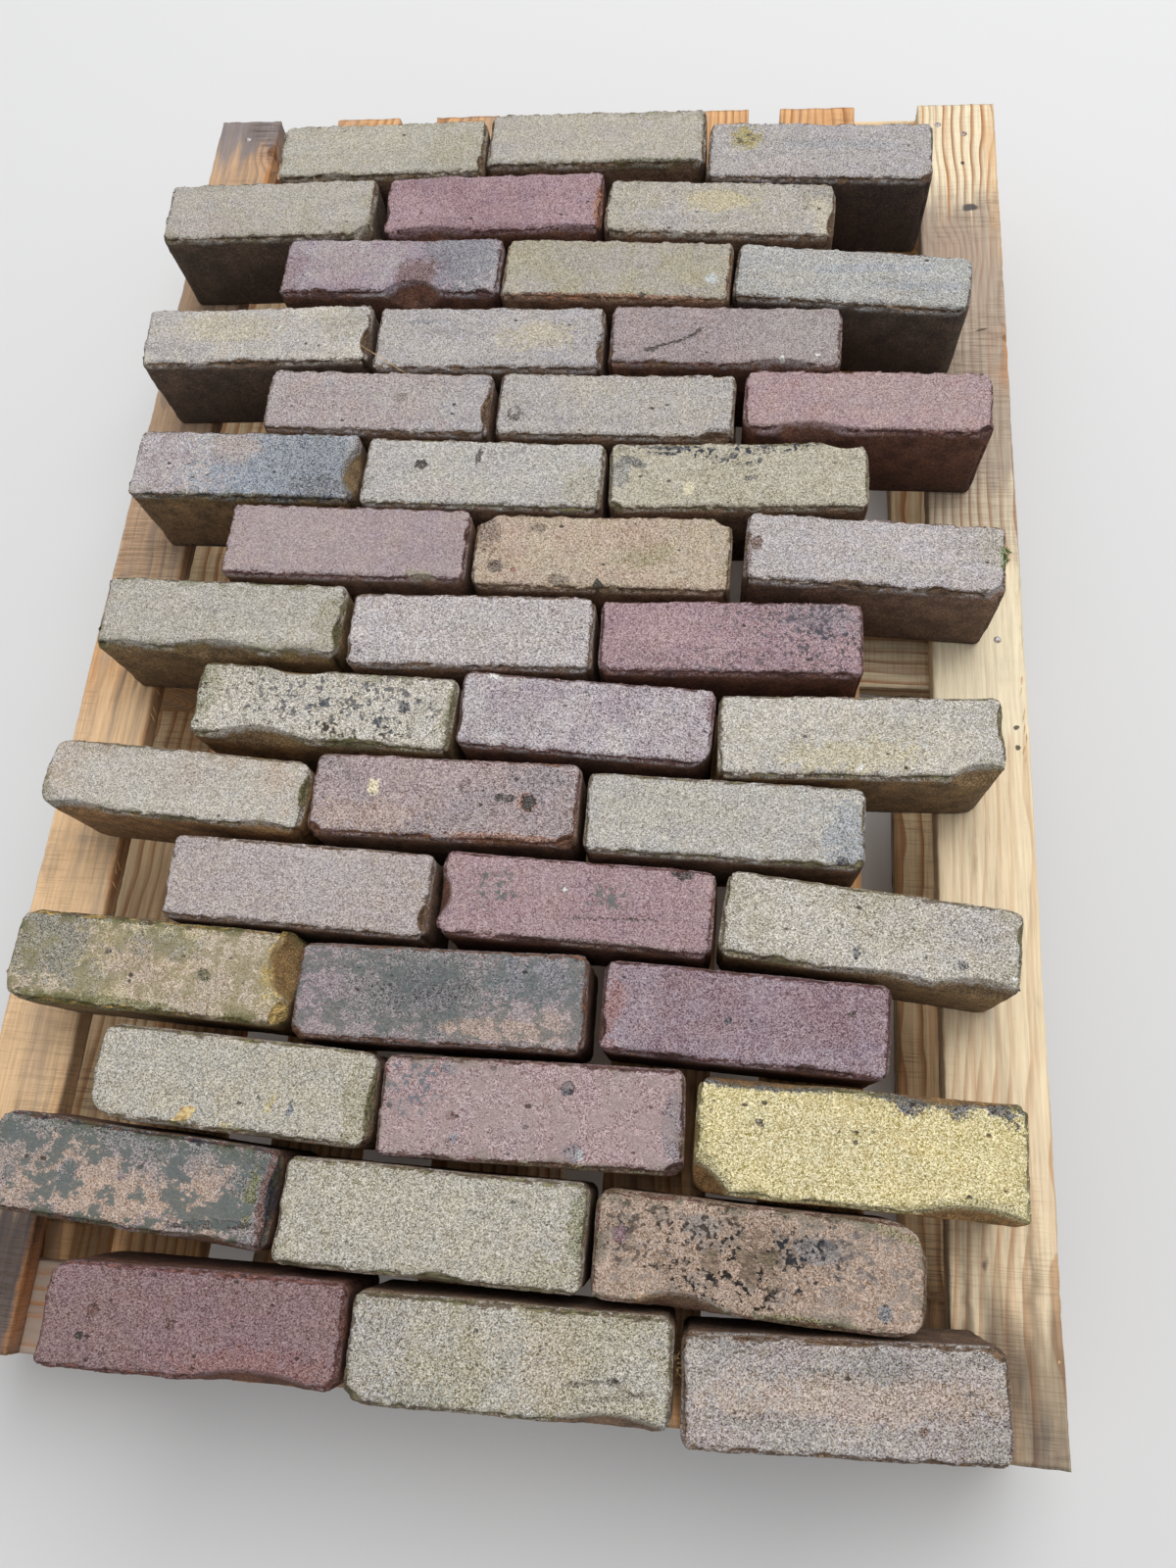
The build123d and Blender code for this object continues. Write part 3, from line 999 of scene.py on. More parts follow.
# Its side is darker still: painted shade of the narrow gap beside it.
brick("01_3", "grey mauve", second="beige", mottle=0.4, side="damp deep",
      marks=[(-0.69, 0.37, 30, 20, "lichen", 0.9), (-0.72, 0.30, 5, 6, "soil", 0.8),
             (-0.64, 0.50, 6, 3, "soil", 0.8), (-0.60, 0.36, 4, 5, "soil", 0.7),
             (0.2, 0.2, 110, 12, "slate blue", 0.3), (-0.3, -0.6, 70, 18, "pink beige", 0.4)],
      bites=[(0.3, -1, 70, 4), (-0.7, -1, 40, 4), (0.9, -1, 30, 4)])
brick("02_1", "beige", second="tan olive", mottle=0.5, moss=0.3, side="damp dark", grain=1.31,
      marks=[(-0.6, -0.5, 70, 30, "pink beige", 0.5), (0.3, 0.5, 90, 24, "buff grey", 0.5)],
      bites=[(0.93, -0.95, 26, 8), (-0.98, -0.95, 18, 5), (0.0, -1, 60, 3)])
brick("02_2", "dusky red", RED, second="dark red", mottle=0.45, nibble=3.6, pits=0.2,
      marks=[(1.0, -0.3, 16, 56, "rust", 0.85), (0.0, -0.9, 190, 12, "dark red", 0.7)],
      bites=[(-0.55, -1, 80, 8), (0.72, -1, 60, 6), (0.1, -1, 50, 4), (-0.98, -0.3, 24, 4)])
brick("02_3", "beige", corner=14.0, second="tan olive", mottle=0.5, pits=0.3, nibble=2.6,
      marks=[(0.0, 0.29, 56, 22, "yellow", 0.5), (0.92, -0.3, 22, 40, "cream", 0.3),
             (-0.5, -0.4, 60, 24, "grey mauve", 0.5), (0.85, 0.6, 40, 20, "grey", 0.5)],
      bites=[(0.98, -0.5, 36, 5), (0.7, -1, 40, 4)])
brick("03_1", "mauve", RED, second="grey mauve", mottle=0.8, pits=0.2, nibble=3.0,
      marks=[(0.62, 0.25, 76, 66, "slate", 0.6), (-0.4, 0.1, 60, 40, "pink brown", 0.5),
             (0.25, -0.4, 34, 40, "red brown", 0.7), (-0.9, -0.3, 24, 50, "dark red", 0.6)],
      bites=[(0.23, -1, 58, 14), (-0.6, -1, 60, 5), (0.85, -1, 30, 6)])
brick("03_2", "tan olive", second="grey mauve", mottle=0.6, chip="rust", grain=1.4,
      marks=[(0.0, -0.98, 210, 11, "rust", 0.8), (1.0, -0.3, 8, 60, "rust", 0.7),
             (0.83, -0.27, 11, 11, "pale blue", 0.95), (0.25, -0.83, 5, 4, "black", 0.95, 0, 2),
             (-0.2, 0.3, 90, 24, "warm grey", 0.5)],
      bites=[(-0.3, -1, 60, 3), (0.6, -1, 50, 3)])
brick("03_3", "cool grey", second="warm grey", mottle=0.5, bands=0.5, side="damp dark",
      marks=[(0.1, 0.3, 130, 10, "slate blue", 0.4, 6), (0.5, -0.2, 80, 8, "slate blue", 0.35, 4),
             (-0.5, -0.1, 60, 20, "buff grey", 0.4), (0.85, -0.9, 30, 10, "soil", 0.4)],
      bites=[(-0.5, 1, 30, 5), (0.4, -1, 60, 3)])
brick("04_1", "pale buff", second="grey mauve", mottle=0.5, nibble=3.0, grain=1.31, side="damp dark",
      marks=[(-0.24, 0.23, 80, 28, "yellow", 0.3), (0.77, 0.32, 44, 34, "olive", 0.25),
             (-0.7, -0.4, 60, 24, "grey mauve", 0.6), (0.18, 0.2, 7, 6, "white", 0.8),
             (0.18, 0.2, 4, 3, "blue black", 0.9)],
      bites=[(0.0, -1, 100, 5), (0.98, -0.3, 34, 6), (-0.7, -1, 44, 4)])
brick("04_2", "grey mauve", second="beige", mottle=0.5, bands=0.5,
      marks=[(0.42, 0.03, 66, 26, "yellow", 0.35), (-0.5, 0.5, 60, 4, "slate", 0.4, 3),
             (-0.4, -0.3, 80, 24, "stone grey", 0.5)],
      bites=[(0.98, -0.5, 24, 4), (0.2, -1, 50, 3)])
brick("04_3", "brown mauve", RED, second="pink brown", mottle=0.5, chip="rim brown", nibble=3.0,
      marks=[(0.62, 0.1, 90, 60, "warm grey", 0.6), (-0.50, -0.34, 30, 3.0, "soil", 0.9, 20, 1),
             (-0.30, -0.06, 34, 2.2, "soil", 0.85, 36, 1), (-0.62, -0.52, 12, 5, "soil", 0.7, 5, 1),
             (0.50, -0.72, 4, 6, "white", 1.0), (0.79, -0.61, 4, 3, "white", 1.0)],
      bites=[(0.5, -1, 66, 8), (-0.55, -1, 56, 5), (-0.98, -0.6, 20, 4)])
brick("05_1", "grey mauve", second="pink brown", mottle=0.7,
      marks=[(0.3, 0.2, 60, 34, "beige", 0.4), (0.2, 0.1, 14, 10, "soil", 0.3)],
      bites=[(0.98, -0.2, 40, 5), (0.1, -1, 60, 4), (0.8, -1, 30, 5)])
brick("05_2", "beige", second="grey mauve", mottle=0.6,
      marks=[(-0.83, -0.33, 13, 17, "soil", 0.7), (-0.84, -0.25, 6, 9, "warm grey", 0.9),
             (0.9, -0.8, 30, 10, "soil", 0.6)],
      bites=[(0.85, -0.98, 36, 6), (0.0, -1, 60, 3)])
brick("05_3", "pink red", RED, second="dusky red", mottle=0.5, rim=0.7, nibble=3.0, grain=1.31,
      marks=[(0.2, 0.2, 110, 36, "pink brown", 0.4), (0.5, -1.0, 120, 10, "red brown", 0.5)],
      bites=[(-0.45, -1, 80, 9), (0.3, -1, 44, 4), (0.93, -0.95, 24, 6)])
print(len(LOOKS), "bricks described")

# %% [markdown]
# ## The middle rows
# Here single spots can be told apart: a hole, a fleck of mortar, a patch of soot. A spot
# that sinks is a hole, and specks show only where the crumbs of the clay stand up.

# %% Rows 6 to 10
brick("06_1", "lilac grey", second="mauve", mottle=0.6, moss=0.3, chip="blue black", side="damp olive",
      marks=[(0.45, -0.1, 150, 100, "slate blue", 0.85), (0.6, 0.2, 90, 40, "slate", 0.5),
             (-0.1, 0.5, 40, 24, "pink tan", 0.5), (0.95, 0.0, 14, 60, "warm grey", 0.5),
             (0.0, -1.0, 200, 9, "dark moss", 0.7), (0.75, -0.6, 60, 18, "blue black", 0.5)],
      bites=[(0.98, -0.1, 44, 9.5), (0.7, -1, 44, 4), (-0.3, -1, 60, 3)])
brick("06_2", "stone grey", second="grey mauve", mottle=0.4, chip="olive",
      marks=[(-0.51, 0.20, 11, 8, "black", 1.0, 0, 5), (-0.04, 0.43, 3, 17, "soil", 0.95, -8, 2),
             (0.85, -0.4, 40, 36, "tan olive", 0.5), (-0.4, -0.5, 60, 16, "pink beige", 0.5)],
      bites=[(0.2, -1, 56, 4), (0.75, -1, 40, 4)])
brick("06_3", "buff", corner=13.0, second="tan olive", mottle=0.4, pits=0.3, softness=3,
      chip="olive", soot=0.25,
      specks=[(-0.50, 0.74, 90, 12, "blue black", 1.0, -5, 1),
              (-0.10, 0.50, 70, 9, "blue black", 0.9, -9, 1),
              (0.30, 0.86, 80, 16, "blue black", 1.0, 6, 1)],
      marks=[(-0.55, 0.80, 40, 4, "blue black", 0.9, -4, 1), (0.32, 0.90, 40, 5, "blue black", 0.9, 8, 1),
             (-0.80, 0.42, 22, 8, "blue black", 0.7, -20),
             (-0.37, -0.39, 9, 13, "cream", 1.0, 15), (0.1, -0.1, 12, 5, "blue black", 0.6),
             (-0.9, 0.1, 16, 30, "slate", 0.5)],
      bites=[(0.84, 1, 44, 8), (0.6, -1, 60, 4), (-0.9, -0.98, 24, 5)])
brick("07_1", "rose grey", RED, second="mauve", mottle=0.3, bands=0.1, pits=0.03, nibble=1.8,
      grain=1.05, side="damp brown",
      marks=[(0.64, -0.84, 26, 9, "tan olive", 0.8, -8), (-0.5, 0.1, 80, 40, "pink beige", 0.4)],
      bites=[(0.66, -1, 30, 6), (0.98, 0.3, 24, 3)])
brick("07_2", "tan", corner=13.0, second="pink tan", mottle=0.9, pits=0.3, softness=4, moss=0.2,
      sand=0.1,
      marks=[(-0.92, 0.5, 18, 34, "soil", 0.5), (-0.80, -0.45, 14, 12, "soil", 0.7),
             (0.0, -0.88, 7, 11, "black", 1.0, 0, 5), (-0.66, -0.53, 6, 5, "brick red", 0.9),
             (0.32, -0.05, 40, 24, "olive", 0.5), (-0.3, -0.75, 20, 9, "soil", 0.5),
             (0.2, 0.4, 60, 24, "pink tan", 0.5), (-0.5, 0.6, 15, 8, "soil", 0.5)],
      bites=[(-0.9, 0.98, 36, 7), (0.9, 0.98, 30, 5), (0.5, -1, 50, 3)])
brick("07_3", "lilac grey", second="warm grey", mottle=0.5, nibble=3.2, side="damp brown",
      marks=[(-0.90, 0.07, 9, 12, "red brown", 0.9, 0, 2), (-0.98, -0.2, 8, 40, "red brown", 0.6),
             (0.98, 0.1, 8, 24, "bright moss", 0.9), (0.3, -0.3, 90, 10, "beige", 0.5, -6),
             (0.9, 0.4, 34, 40, "tan olive", 0.4)],
      bites=[(0.95, -0.95, 26, 7), (-0.1, -1, 100, 5), (0.55, -1, 70, 5)])
brick("08_1", "buff grey", second="beige", mottle=0.5, moss=0.75, chip="olive", nibble=3.4,
      side="damp olive",
      marks=[(-0.1, 0.3, 120, 30, "beige", 0.4), (0.9, -0.1, 24, 44, "olive", 0.35)],
      bites=[(-0.72, -1, 66, 6.5), (0, -1, 96, 10), (0.72, -1, 64, 6.5), (0.98, -0.3, 30, 4)])
brick("08_2", "lilac grey", second="pink beige", mottle=0.4, grain=1.75, glint=0.45,
      marks=[(0.3, 0.1, 100, 40, "beige", 0.35)],
      bites=[(0.3, -1, 70, 3), (-0.98, -0.6, 20, 4)])
brick("08_3", "dusky red", RED, second="pink red", mottle=0.5, pits=0.3, soot=0.2, grain=1.66,
      specks=[(0.55, 0.45, 110, 54, "blue black", 0.7), (0.8, -0.3, 46, 40, "blue black", 0.7),
              (-0.1, -0.66, 130, 24, "blue black", 0.6)],
      marks=[(0.7, 0.5, 60, 30, "slate", 0.4), (-0.5, 0.2, 60, 26, "pink red", 0.5)],
      bites=[(-0.97, -0.97, 26, 7), (0.4, -1, 60, 5), (-0.4, -1, 40, 4)])
brick("09_1", "pale buff", second="buff", mottle=0.5, moss=0.6, chip="olive", pits=0.3, grain=1.84,
      side="damp olive",
      marks=[(-0.08, -0.05, 9, 4, "blue black", 0.9, 30), (0.02, 0.10, 12, 5, "blue black", 0.9, 40),
             (0.26, 0.02, 7, 4, "blue black", 0.9, 60), (0.44, -0.30, 8, 7, "blue black", 0.95, 20),
             (0.62, 0.10, 10, 8, "blue black", 0.9, 50), (0.72, 0.28, 6, 4, "blue black", 0.9, 10),
             (0.56, -0.55, 5, 4, "blue black", 0.9), (-0.2, -0.25, 5, 5, "blue black", 0.8),
             (-0.95, 0.0, 20, 60, "moss", 0.4)],
      specks=[(0.1, 0.1, 150, 44, "blue black", 0.8), (0.3, -0.6, 90, 14, "soil", 0.8)],
      bites=[(-0.46, -1, 88, 10), (-0.25, 1, 60, 7), (0.35, -1, 90, 6)])
brick("09_2", "lilac grey", RED, second="mauve", mottle=0.6, pits=0.12, nibble=1.9, grain=1.66,
      marks=[(-0.75, 0.90, 8, 6, "white", 1.0, 20), (-0.70, 0.82, 4, 3, "white", 1.0),
             (0.0, 0.6, 6, 2, "black", 0.8, -30), (-0.6, -0.3, 60, 30, "grey mauve", 0.4),
             (0.97, 0.5, 10, 30, "dark red", 0.7)],
      bites=[(0.80, 0.98, 16, 4), (-0.98, -0.4, 30, 4)])
brick("09_3", "pale buff", second="stone grey", mottle=0.5, chip="olive", nibble=2.6, side="damp olive",
      marks=[(-0.06, -0.43, 90, 22, "yellow", 0.45), (-0.01, -0.75, 6, 6, "white", 1.0),
             (0.15, 0.2, 60, 22, "buff", 0.4), (0.86, -0.9, 30, 20, "olive", 0.6)],
      bites=[(0.85, -1, 60, 12), (0.98, 0.3, 40, 5), (-0.2, -1, 60, 4)])
brick("10_1", "pale buff", corner=14.0, second="pink tan", mottle=0.6, moss=0.35, chip="olive",
      nibble=3.2, grain=1.31, side="damp tan",
      marks=[(-0.1, 0.2, 120, 40, "beige", 0.4), (-0.9, -0.9, 44, 20, "dark moss", 0.4)],
      bites=[(-0.7, -1, 66, 7), (0.72, -1, 56, 6), (0.1, -1, 60, 5), (0.98, 0.1, 30, 4)])
brick("10_2", "pink brown", RED, second="brown mauve", mottle=0.8, chip="rust", pits=0.3, soot=0.2,
      grain=1.75, side="damp brown",
      marks=[(-0.53, 0.17, 9, 14, "cream", 1.0, 12), (-0.50, 0.30, 5, 5, "cream", 1.0),
             (0.15, 0.30, 9, 13, "red brown", 0.6), (0.15, 0.30, 5, 8, "brown mauve", 0.9),
             (0.45, 0.07, 16, 7, "black", 0.75), (0.62, -0.01, 14, 15, "rust", 0.85),
             (0.62, -0.01, 10, 11, "black", 1.0, 0, 6), (0.5, -0.9, 90, 10, "rust", 0.7),
             (-0.6, -0.5, 80, 24, "pink tan", 0.45), (0.7, 0.5, 50, 24, "slate", 0.35)],
      bites=[(0.45, -1, 60, 5), (-0.93, -0.95, 24, 6), (0.9, -0.95, 26, 6)])
brick("10_3", "stone grey", second="beige", mottle=0.4, chip="olive",
      marks=[(0.9, -0.3, 36, 50, "slate blue", 0.5), (0.84, -0.84, 8, 9, "blue black", 0.95, 0, 1),
             (-0.4, 0.2, 90, 30, "buff", 0.3)],
      bites=[(0.55, -1, 80, 5), (0.95, -0.95, 22, 5), (-0.4, -1, 60, 3)])
print(len(LOOKS), "bricks described")

# %% [markdown]
# ## The near rows
# The nearest bricks fill most of the picture, so they have the most marks: veins, cracks,
# a yellow crust, a crater, bands from the kiln and wet moss.

# %% Rows 11 to 15
brick("11_1", "pink beige", second="lilac grey", mottle=0.4, nibble=1.8, pits=0.06, bands=0.1,
      marks=[(0.0, 0.2, 120, 36, "lilac grey", 0.3)],
      bites=[(0.98, -0.5, 24, 5), (-0.98, -0.6, 30, 4), (0.3, -1, 50, 3)])
brick("11_2", "dusky red", RED, second="pink red", mottle=0.6, nibble=3.4, pits=0.15, soot=0.15,
      specks=[(-0.58, 0.11, 30, 20, "slate green", 0.9), (0.18, 0.19, 34, 20, "slate green", 0.8)],
      marks=[(0.75, 0.87, 15, 10, "black", 0.8, 0, 4), (-0.08, 0.25, 2, 5, "white", 1.0, 15),
             (0.2, -0.95, 140, 9, "dark moss", 0.5), (0.3, -0.3, 70, 2, "soil", 0.6, 4)],
      bites=[(-0.98, -0.1, 36, 8), (-0.2, -1, 80, 5), (0.55, -1, 60, 5)])
brick("11_3", "pale buff", second="tan olive", mottle=0.5, chip="olive", moss=0.3, nibble=3.6, pits=0.3,
      grain=1.66, side="damp olive",
      marks=[(-0.08, -0.50, 5, 8, "blue black", 0.9), (0.61, -0.43, 7, 6, "blue black", 0.7),
             (0.96, -0.55, 7, 6, "white", 1.0), (0.7, 0.3, 60, 30, "grey mauve", 0.5)],
      bites=[(0.1, -1, 90, 6), (0.75, -1, 80, 10), (-0.6, -1, 60, 5), (0.98, 0.4, 24, 4)])
brick("12_1", "tan", second="yellow", mottle=0.6, moss=0.8, chip="bright ochre", pits=0.3, soot=0.2,
      marble=("olive", 0.5), side="damp olive", sand=0.1,
      marks=[(-0.78, 0.3, 70, 56, "slate green", 0.6), (-0.05, 0.1, 70, 34, "pink tan", 0.5),
             (0.40, -0.11, 11, 9, "dark moss", 0.9, 0, 1), (-0.3, -0.92, 130, 14, "moss", 0.7),
             (0.93, 0.35, 20, 50, "bright ochre", 0.9), (0.05, 0.5, 60, 20, "slate green", 0.5),
             (-0.4, -0.3, 40, 20, "slate green", 0.4), (0.55, 0.3, 50, 30, "tan", 0.6),
             (-0.2, 0.95, 170, 8, "dark moss", 0.7), (-0.3, 0.2, 6, 4, "black", 0.8)],
      bites=[(0.96, 0.35, 56, 14), (0.96, -0.8, 26, 7), (-0.5, -1, 80, 4), (0.3, -1, 50, 4)])
brick("12_2", "brown mauve", RED, {"rim shade": "rust"}, second="pink brown", mottle=0.8, softness=3,
      chip="rust", pits=0.3, soot=0.3, marble=("slate green", 0.6),
      marks=[(-0.15, 0.2, 120, 60, "slate green", 0.6), (-0.1, 0.1, 60, 34, "blue black", 0.35),
             (0.65, 0.35, 66, 34, "slate", 0.6), (0.38, -0.6, 76, 16, "pink tan", 0.6),
             (-0.85, 0.0, 30, 50, "mauve", 0.6), (0.75, -0.5, 30, 20, "pink tan", 0.4)],
      bites=[(-0.95, -0.95, 28, 6), (0.2, -1, 70, 3), (-0.5, 1, 40, 4)])
brick("12_3", "mauve", RED, second="dark red", mottle=0.6, pits=0.15, grain=1.57,
      marks=[(-0.95, -0.2, 18, 50, "brick red", 0.5), (0.2, 0.0, 130, 40, "dark red", 0.4),
             (0.72, 0.3, 5, 4, "soil", 0.8), (-0.1, -0.1, 5, 5, "blue black", 0.8)],
      bites=[(0.45, -1, 64, 5), (-0.5, -1, 60, 5), (-0.98, -0.5, 24, 5)])
brick("13_1", "buff grey", corner=13.0, second="buff", mottle=0.5, chip="olive", sand=0.35, grain=1.66,
      marks=[(0.30, -0.29, 4, 15, "yellow", 0.9, -18), (0.44, -0.35, 2.5, 13, "slate", 0.9, -5),
             (0.9, -0.2, 20, 56, "olive", 0.4), (0.02, -0.85, 8, 6, "yellow", 0.8)],
      bites=[(-0.35, -1, 20, 5), (0.3, -1, 70, 4), (0.98, -0.1, 50, 4)])
brick("13_2", "pink red", RED, marble=("rose grey", 0.6), second="rose grey", mottle=0.5, moss=0.3,
      pits=0.5, grain=1.57,
      specks=[(-0.80, 0.50, 44, 34, "slate", 0.9)],
      marks=[(0.24, 0.47, 9, 9, "blue black", 0.95, 0, 2),
             (0.10, 0.24, 5, 5, "brick red", 0.9), (-0.51, -0.15, 7, 7, "red brown", 0.7),
             (-0.55, 0.75, 10, 8, "slate", 0.7), (-0.48, -0.55, 8, 6, "slate", 0.7),
             (0.34, -0.74, 5, 6, "white", 0.95), (0.3, -0.97, 140, 6, "moss", 0.8),
             (0.93, -0.1, 16, 44, "slate", 0.5), (0.3, -0.7, 14, 12, "slate", 0.6)],
      bites=[(0.0, -1, 60, 3), (0.9, -0.95, 24, 4)])
brick("13_3", "sulphur", {"rim shade": "olive"}, second="yellow", mottle=0.25, chip="olive", moss=0.35,
      sand=0.15, pits=0.5, rim=0.6, nibble=3.0, side="damp tan", grain=1.66,
      marks=[(-0.9, -0.75, 30, 26, "olive", 0.6), (-0.3, 0.1, 90, 40, "yellow buff", 0.5),
             (-0.6, 0.25, 5, 4, "soil", 0.9), (-0.55, 1.0, 110, 15, "blue black", 0.95, 2),
             (0.45, 0.99, 120, 17, "blue black", 0.95, -3), (0.62, -0.80, 70, 14, "olive", 0.5, 6)],
      specks=[(0.1, 0.2, 190, 60, "ochre", 0.3)],
      bites=[(-0.92, -0.94, 56, 12), (0.68, -1, 90, 9), (-0.7, 1, 130, 6), (0.55, 1, 100, 6)])
brick("14_1", "brown mauve", RED, second="pink tan", mottle=0.8, chip="blue black", moss=0.45,
      marble=("slate green", 0.85), pits=0.4, nibble=3.2, soot=0.5, grain=1.66,
      marks=[(-0.12, -0.35, 100, 32, "pink tan", 0.85), (0.48, -0.25, 60, 20, "pink tan", 0.75),
             (-0.3, 0.8, 190, 20, "slate green", 0.8), (0.85, 0.3, 40, 50, "slate green", 0.7),
             (-0.8, 0.5, 50, 34, "grey", 0.6), (0.96, 0.1, 14, 66, "red brown", 1.0),
             (0.84, 0.0, 8, 44, "moss", 0.7), (0.62, -0.62, 60, 6, "black", 0.85, 8, 1),
             (-0.42, -0.1, 14, 22, "slate", 0.7), (0.2, 0.6, 90, 20, "grey", 0.5),
             (-0.6, -0.6, 40, 20, "pink tan", 0.5)],
      bites=[(0.6, -1, 84, 6), (0.98, 0.2, 46, 5), (-0.4, -1, 60, 4), (0.1, 1, 60, 4)])
brick("14_2", "buff grey", second="buff", mottle=0.5, chip="olive", moss=0.2, sand=0.4, grain=1.75,
      marks=[(0.94, 0.2, 14, 44, "moss", 0.5), (0.75, -0.7, 40, 20, "tan olive", 0.6),
             (-0.3, 0.2, 90, 36, "buff", 0.3)],
      bites=[(0.1, -0.95, 50, 5), (-0.85, -1, 40, 5), (0.7, -1, 60, 4)])
brick("14_3", "pink tan", RED, second="brown orange", mottle=0.8, softness=3, corner=14.0,
      marble=("grey", 0.4), chip="brown orange", moss=0.35, pits=0.6, soot=0.3, grain=1.4,
      side="damp brown",
      specks=[(-0.10, 0.10, 100, 50, "soil", 0.9), (-0.05, -0.05, 66, 30, "black", 0.9, 20, 2),
              (-0.75, 0.3, 60, 40, "soil", 0.7), (0.45, 0.2, 80, 40, "blue black", 0.5)],
      marks=[(0.0, 0.05, 80, 40, "rim brown", 0.25),
             (-0.83, 0.22, 10, 12, "dark red", 0.95, 0, 2), (0.3, -0.92, 70, 8, "moss", 0.7),
             (0.75, 0.80, 56, 6, "moss", 0.5, -14), (-0.35, 0.5, 26, 14, "grey", 0.6),
             (0.35, 0.3, 30, 16, "slate", 0.6), (-0.6, -0.9, 30, 10, "ochre", 0.4),
             (0.75, -0.6, 10, 10, "slate", 0.8)],
      bites=[(-0.45, -1, 66, 10), (0.0, 0.05, 44, 2.5), (-0.28, -0.1, 20, 2), (0.6, -1, 50, 4)])
brick("15_1", "plum", RED, second="dark red", mottle=0.6, chip="brick red", pits=0.7, nibble=3.4,
      grain=1.66,
      marks=[(-0.64, 0.1, 8, 8, "red brown", 0.9, 0, 2), (-0.12, 0.0, 7, 6, "red brown", 0.9, 0, 2),
             (0.4, -0.7, 100, 22, "brick red", 0.35), (-0.7, -0.35, 5, 5, "black", 0.9, 0, 2)],
      bites=[(0.45, -1, 110, 9), (-0.3, -1, 60, 4), (0.95, -0.95, 24, 6)])
brick("15_2", "buff grey", second="tan olive", mottle=0.8, chip="olive", moss=0.3, sand=0.4, grain=1.84,
      marks=[(-0.88, -0.05, 52, 76, "grey mauve", 0.5), (-0.6, -0.7, 44, 22, "slate blue", 0.2),
             (0.25, 0.0, 36, 56, "tan", 0.5), (0.55, -0.22, 44, 2.5, "soil", 0.7, 8, 1),
             (0.66, -0.44, 50, 2.5, "soil", 0.6, 10, 1), (0.72, -0.30, 24, 2.5, "soil", 0.7, -25, 1),
             (-0.2, 0.45, 3, 3, "black", 0.9), (0.6, -0.6, 70, 20, "tan olive", 0.6)],
      bites=[(0.65, -1, 90, 9), (0.1, -1, 50, 4), (-0.9, -0.95, 30, 5)])
brick("15_3", "warm grey", second="pink brown", mottle=0.5, bands=0.9, grain=1.84, sand=0.3,
      marks=[(0.22, 0.72, 30, 26, "grey", 0.55), (0.45, -0.45, 5, 6, "red brown", 0.8),
             (0.0, -0.30, 170, 6, "brown mauve", 0.6, 1), (0.1, 0.0, 180, 22, "pink tan", 0.5, 1),
             (0.75, 0.2, 12, 3, "soil", 0.7)],
      bites=[(0.5, -1, 40, 4), (0.93, 0.95, 20, 5)])
print(len(LOOKS), "bricks described,", sum(len(look["marks"]) for look in LOOKS.values()), "marks,",
      sum(len(look["bites"]) for look in LOOKS.values()), "bites")

# %% [markdown]
# ## Laying the course
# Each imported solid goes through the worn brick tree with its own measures, bites and
# seed. Its bed is hidden under it and flat, so the small faces there are joined into
# one.

# %% Bricks
BED_TOLERANCE = 2e-4
LOOKS_DOWN = -0.99
BRICK_PLACES = {}


def join_bed(mesh, bed_height):
    """Joins the flat faces of the underside into one, and keeps that face flat."""
    work = bmesh.new()
    work.from_mesh(mesh)
    limit = bed_height + BED_TOLERANCE
    bed = [face for face in work.faces if max(v.co.z for v in face.verts) < limit]
    bmesh.ops.dissolve_faces(work, faces=bed)
    for face in work.faces:
        if face.normal.z < LOOKS_DOWN and face.calc_center_median().z < limit:
            face.smooth = False
    work.to_mesh(mesh)
    work.free()


def lay_brick(name, solid, look):
    middle, half, turn = BRICK_PLACES[name]
    values = {"Middle": middle, "Half Size": half, "Turn": turn, "Seed": look["seed"],
              "Softness": look["softness"], "Nibble": look["nibble"] * MILLIMETRE,
              "Corner": look["corner"] * MILLIMETRE,
              "Material": clay_finish(f"clay_{name}", look, half)}
    for number, bite in enumerate(look["bites"], start=1):
        place, radius = ball_for(half, *bite)
        values[f"Bite {number} Place"] = place
        values[f"Bite {number} Radius"] = radius
    piece = grow(f"brick_{name}", worn_brick, values, solid)
    join_bed(piece.data, middle[2] - half[2])
    return piece


brick_faces = 0
for row, node in enumerate(brick_rows, start=1):
    for place, solid in enumerate(solids_of(node), start=1):
        name = f"{row:02d}_{place}"
        BRICK_PLACES[name] = measure(solid)
        look = LOOKS[name]
        look["seed"] = float(row * 3 + place)
        piece = lay_brick(name, solid, look)
        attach(piece, "root")
        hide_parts(node)
        brick_faces += triangles(piece)
print("bricks:", brick_faces, "triangles")

# %% [markdown]
# ## Sawn wood
# The pallet is light softwood, sawn and not planed. Its boards are still sharp, only the
# edges are a little furred, so the board tree takes off far less than the brick tree
# does. It keeps, on every point, the place along and across the grain, because wood is
# striped along the board whichever way the board lies.

# %% The sawn board tree
SAW_PER_METRE = 150.0
FUR_PER_METRE = 130.0
FUR_REACH = 0.005
SAW_DEPTH = 0.00035


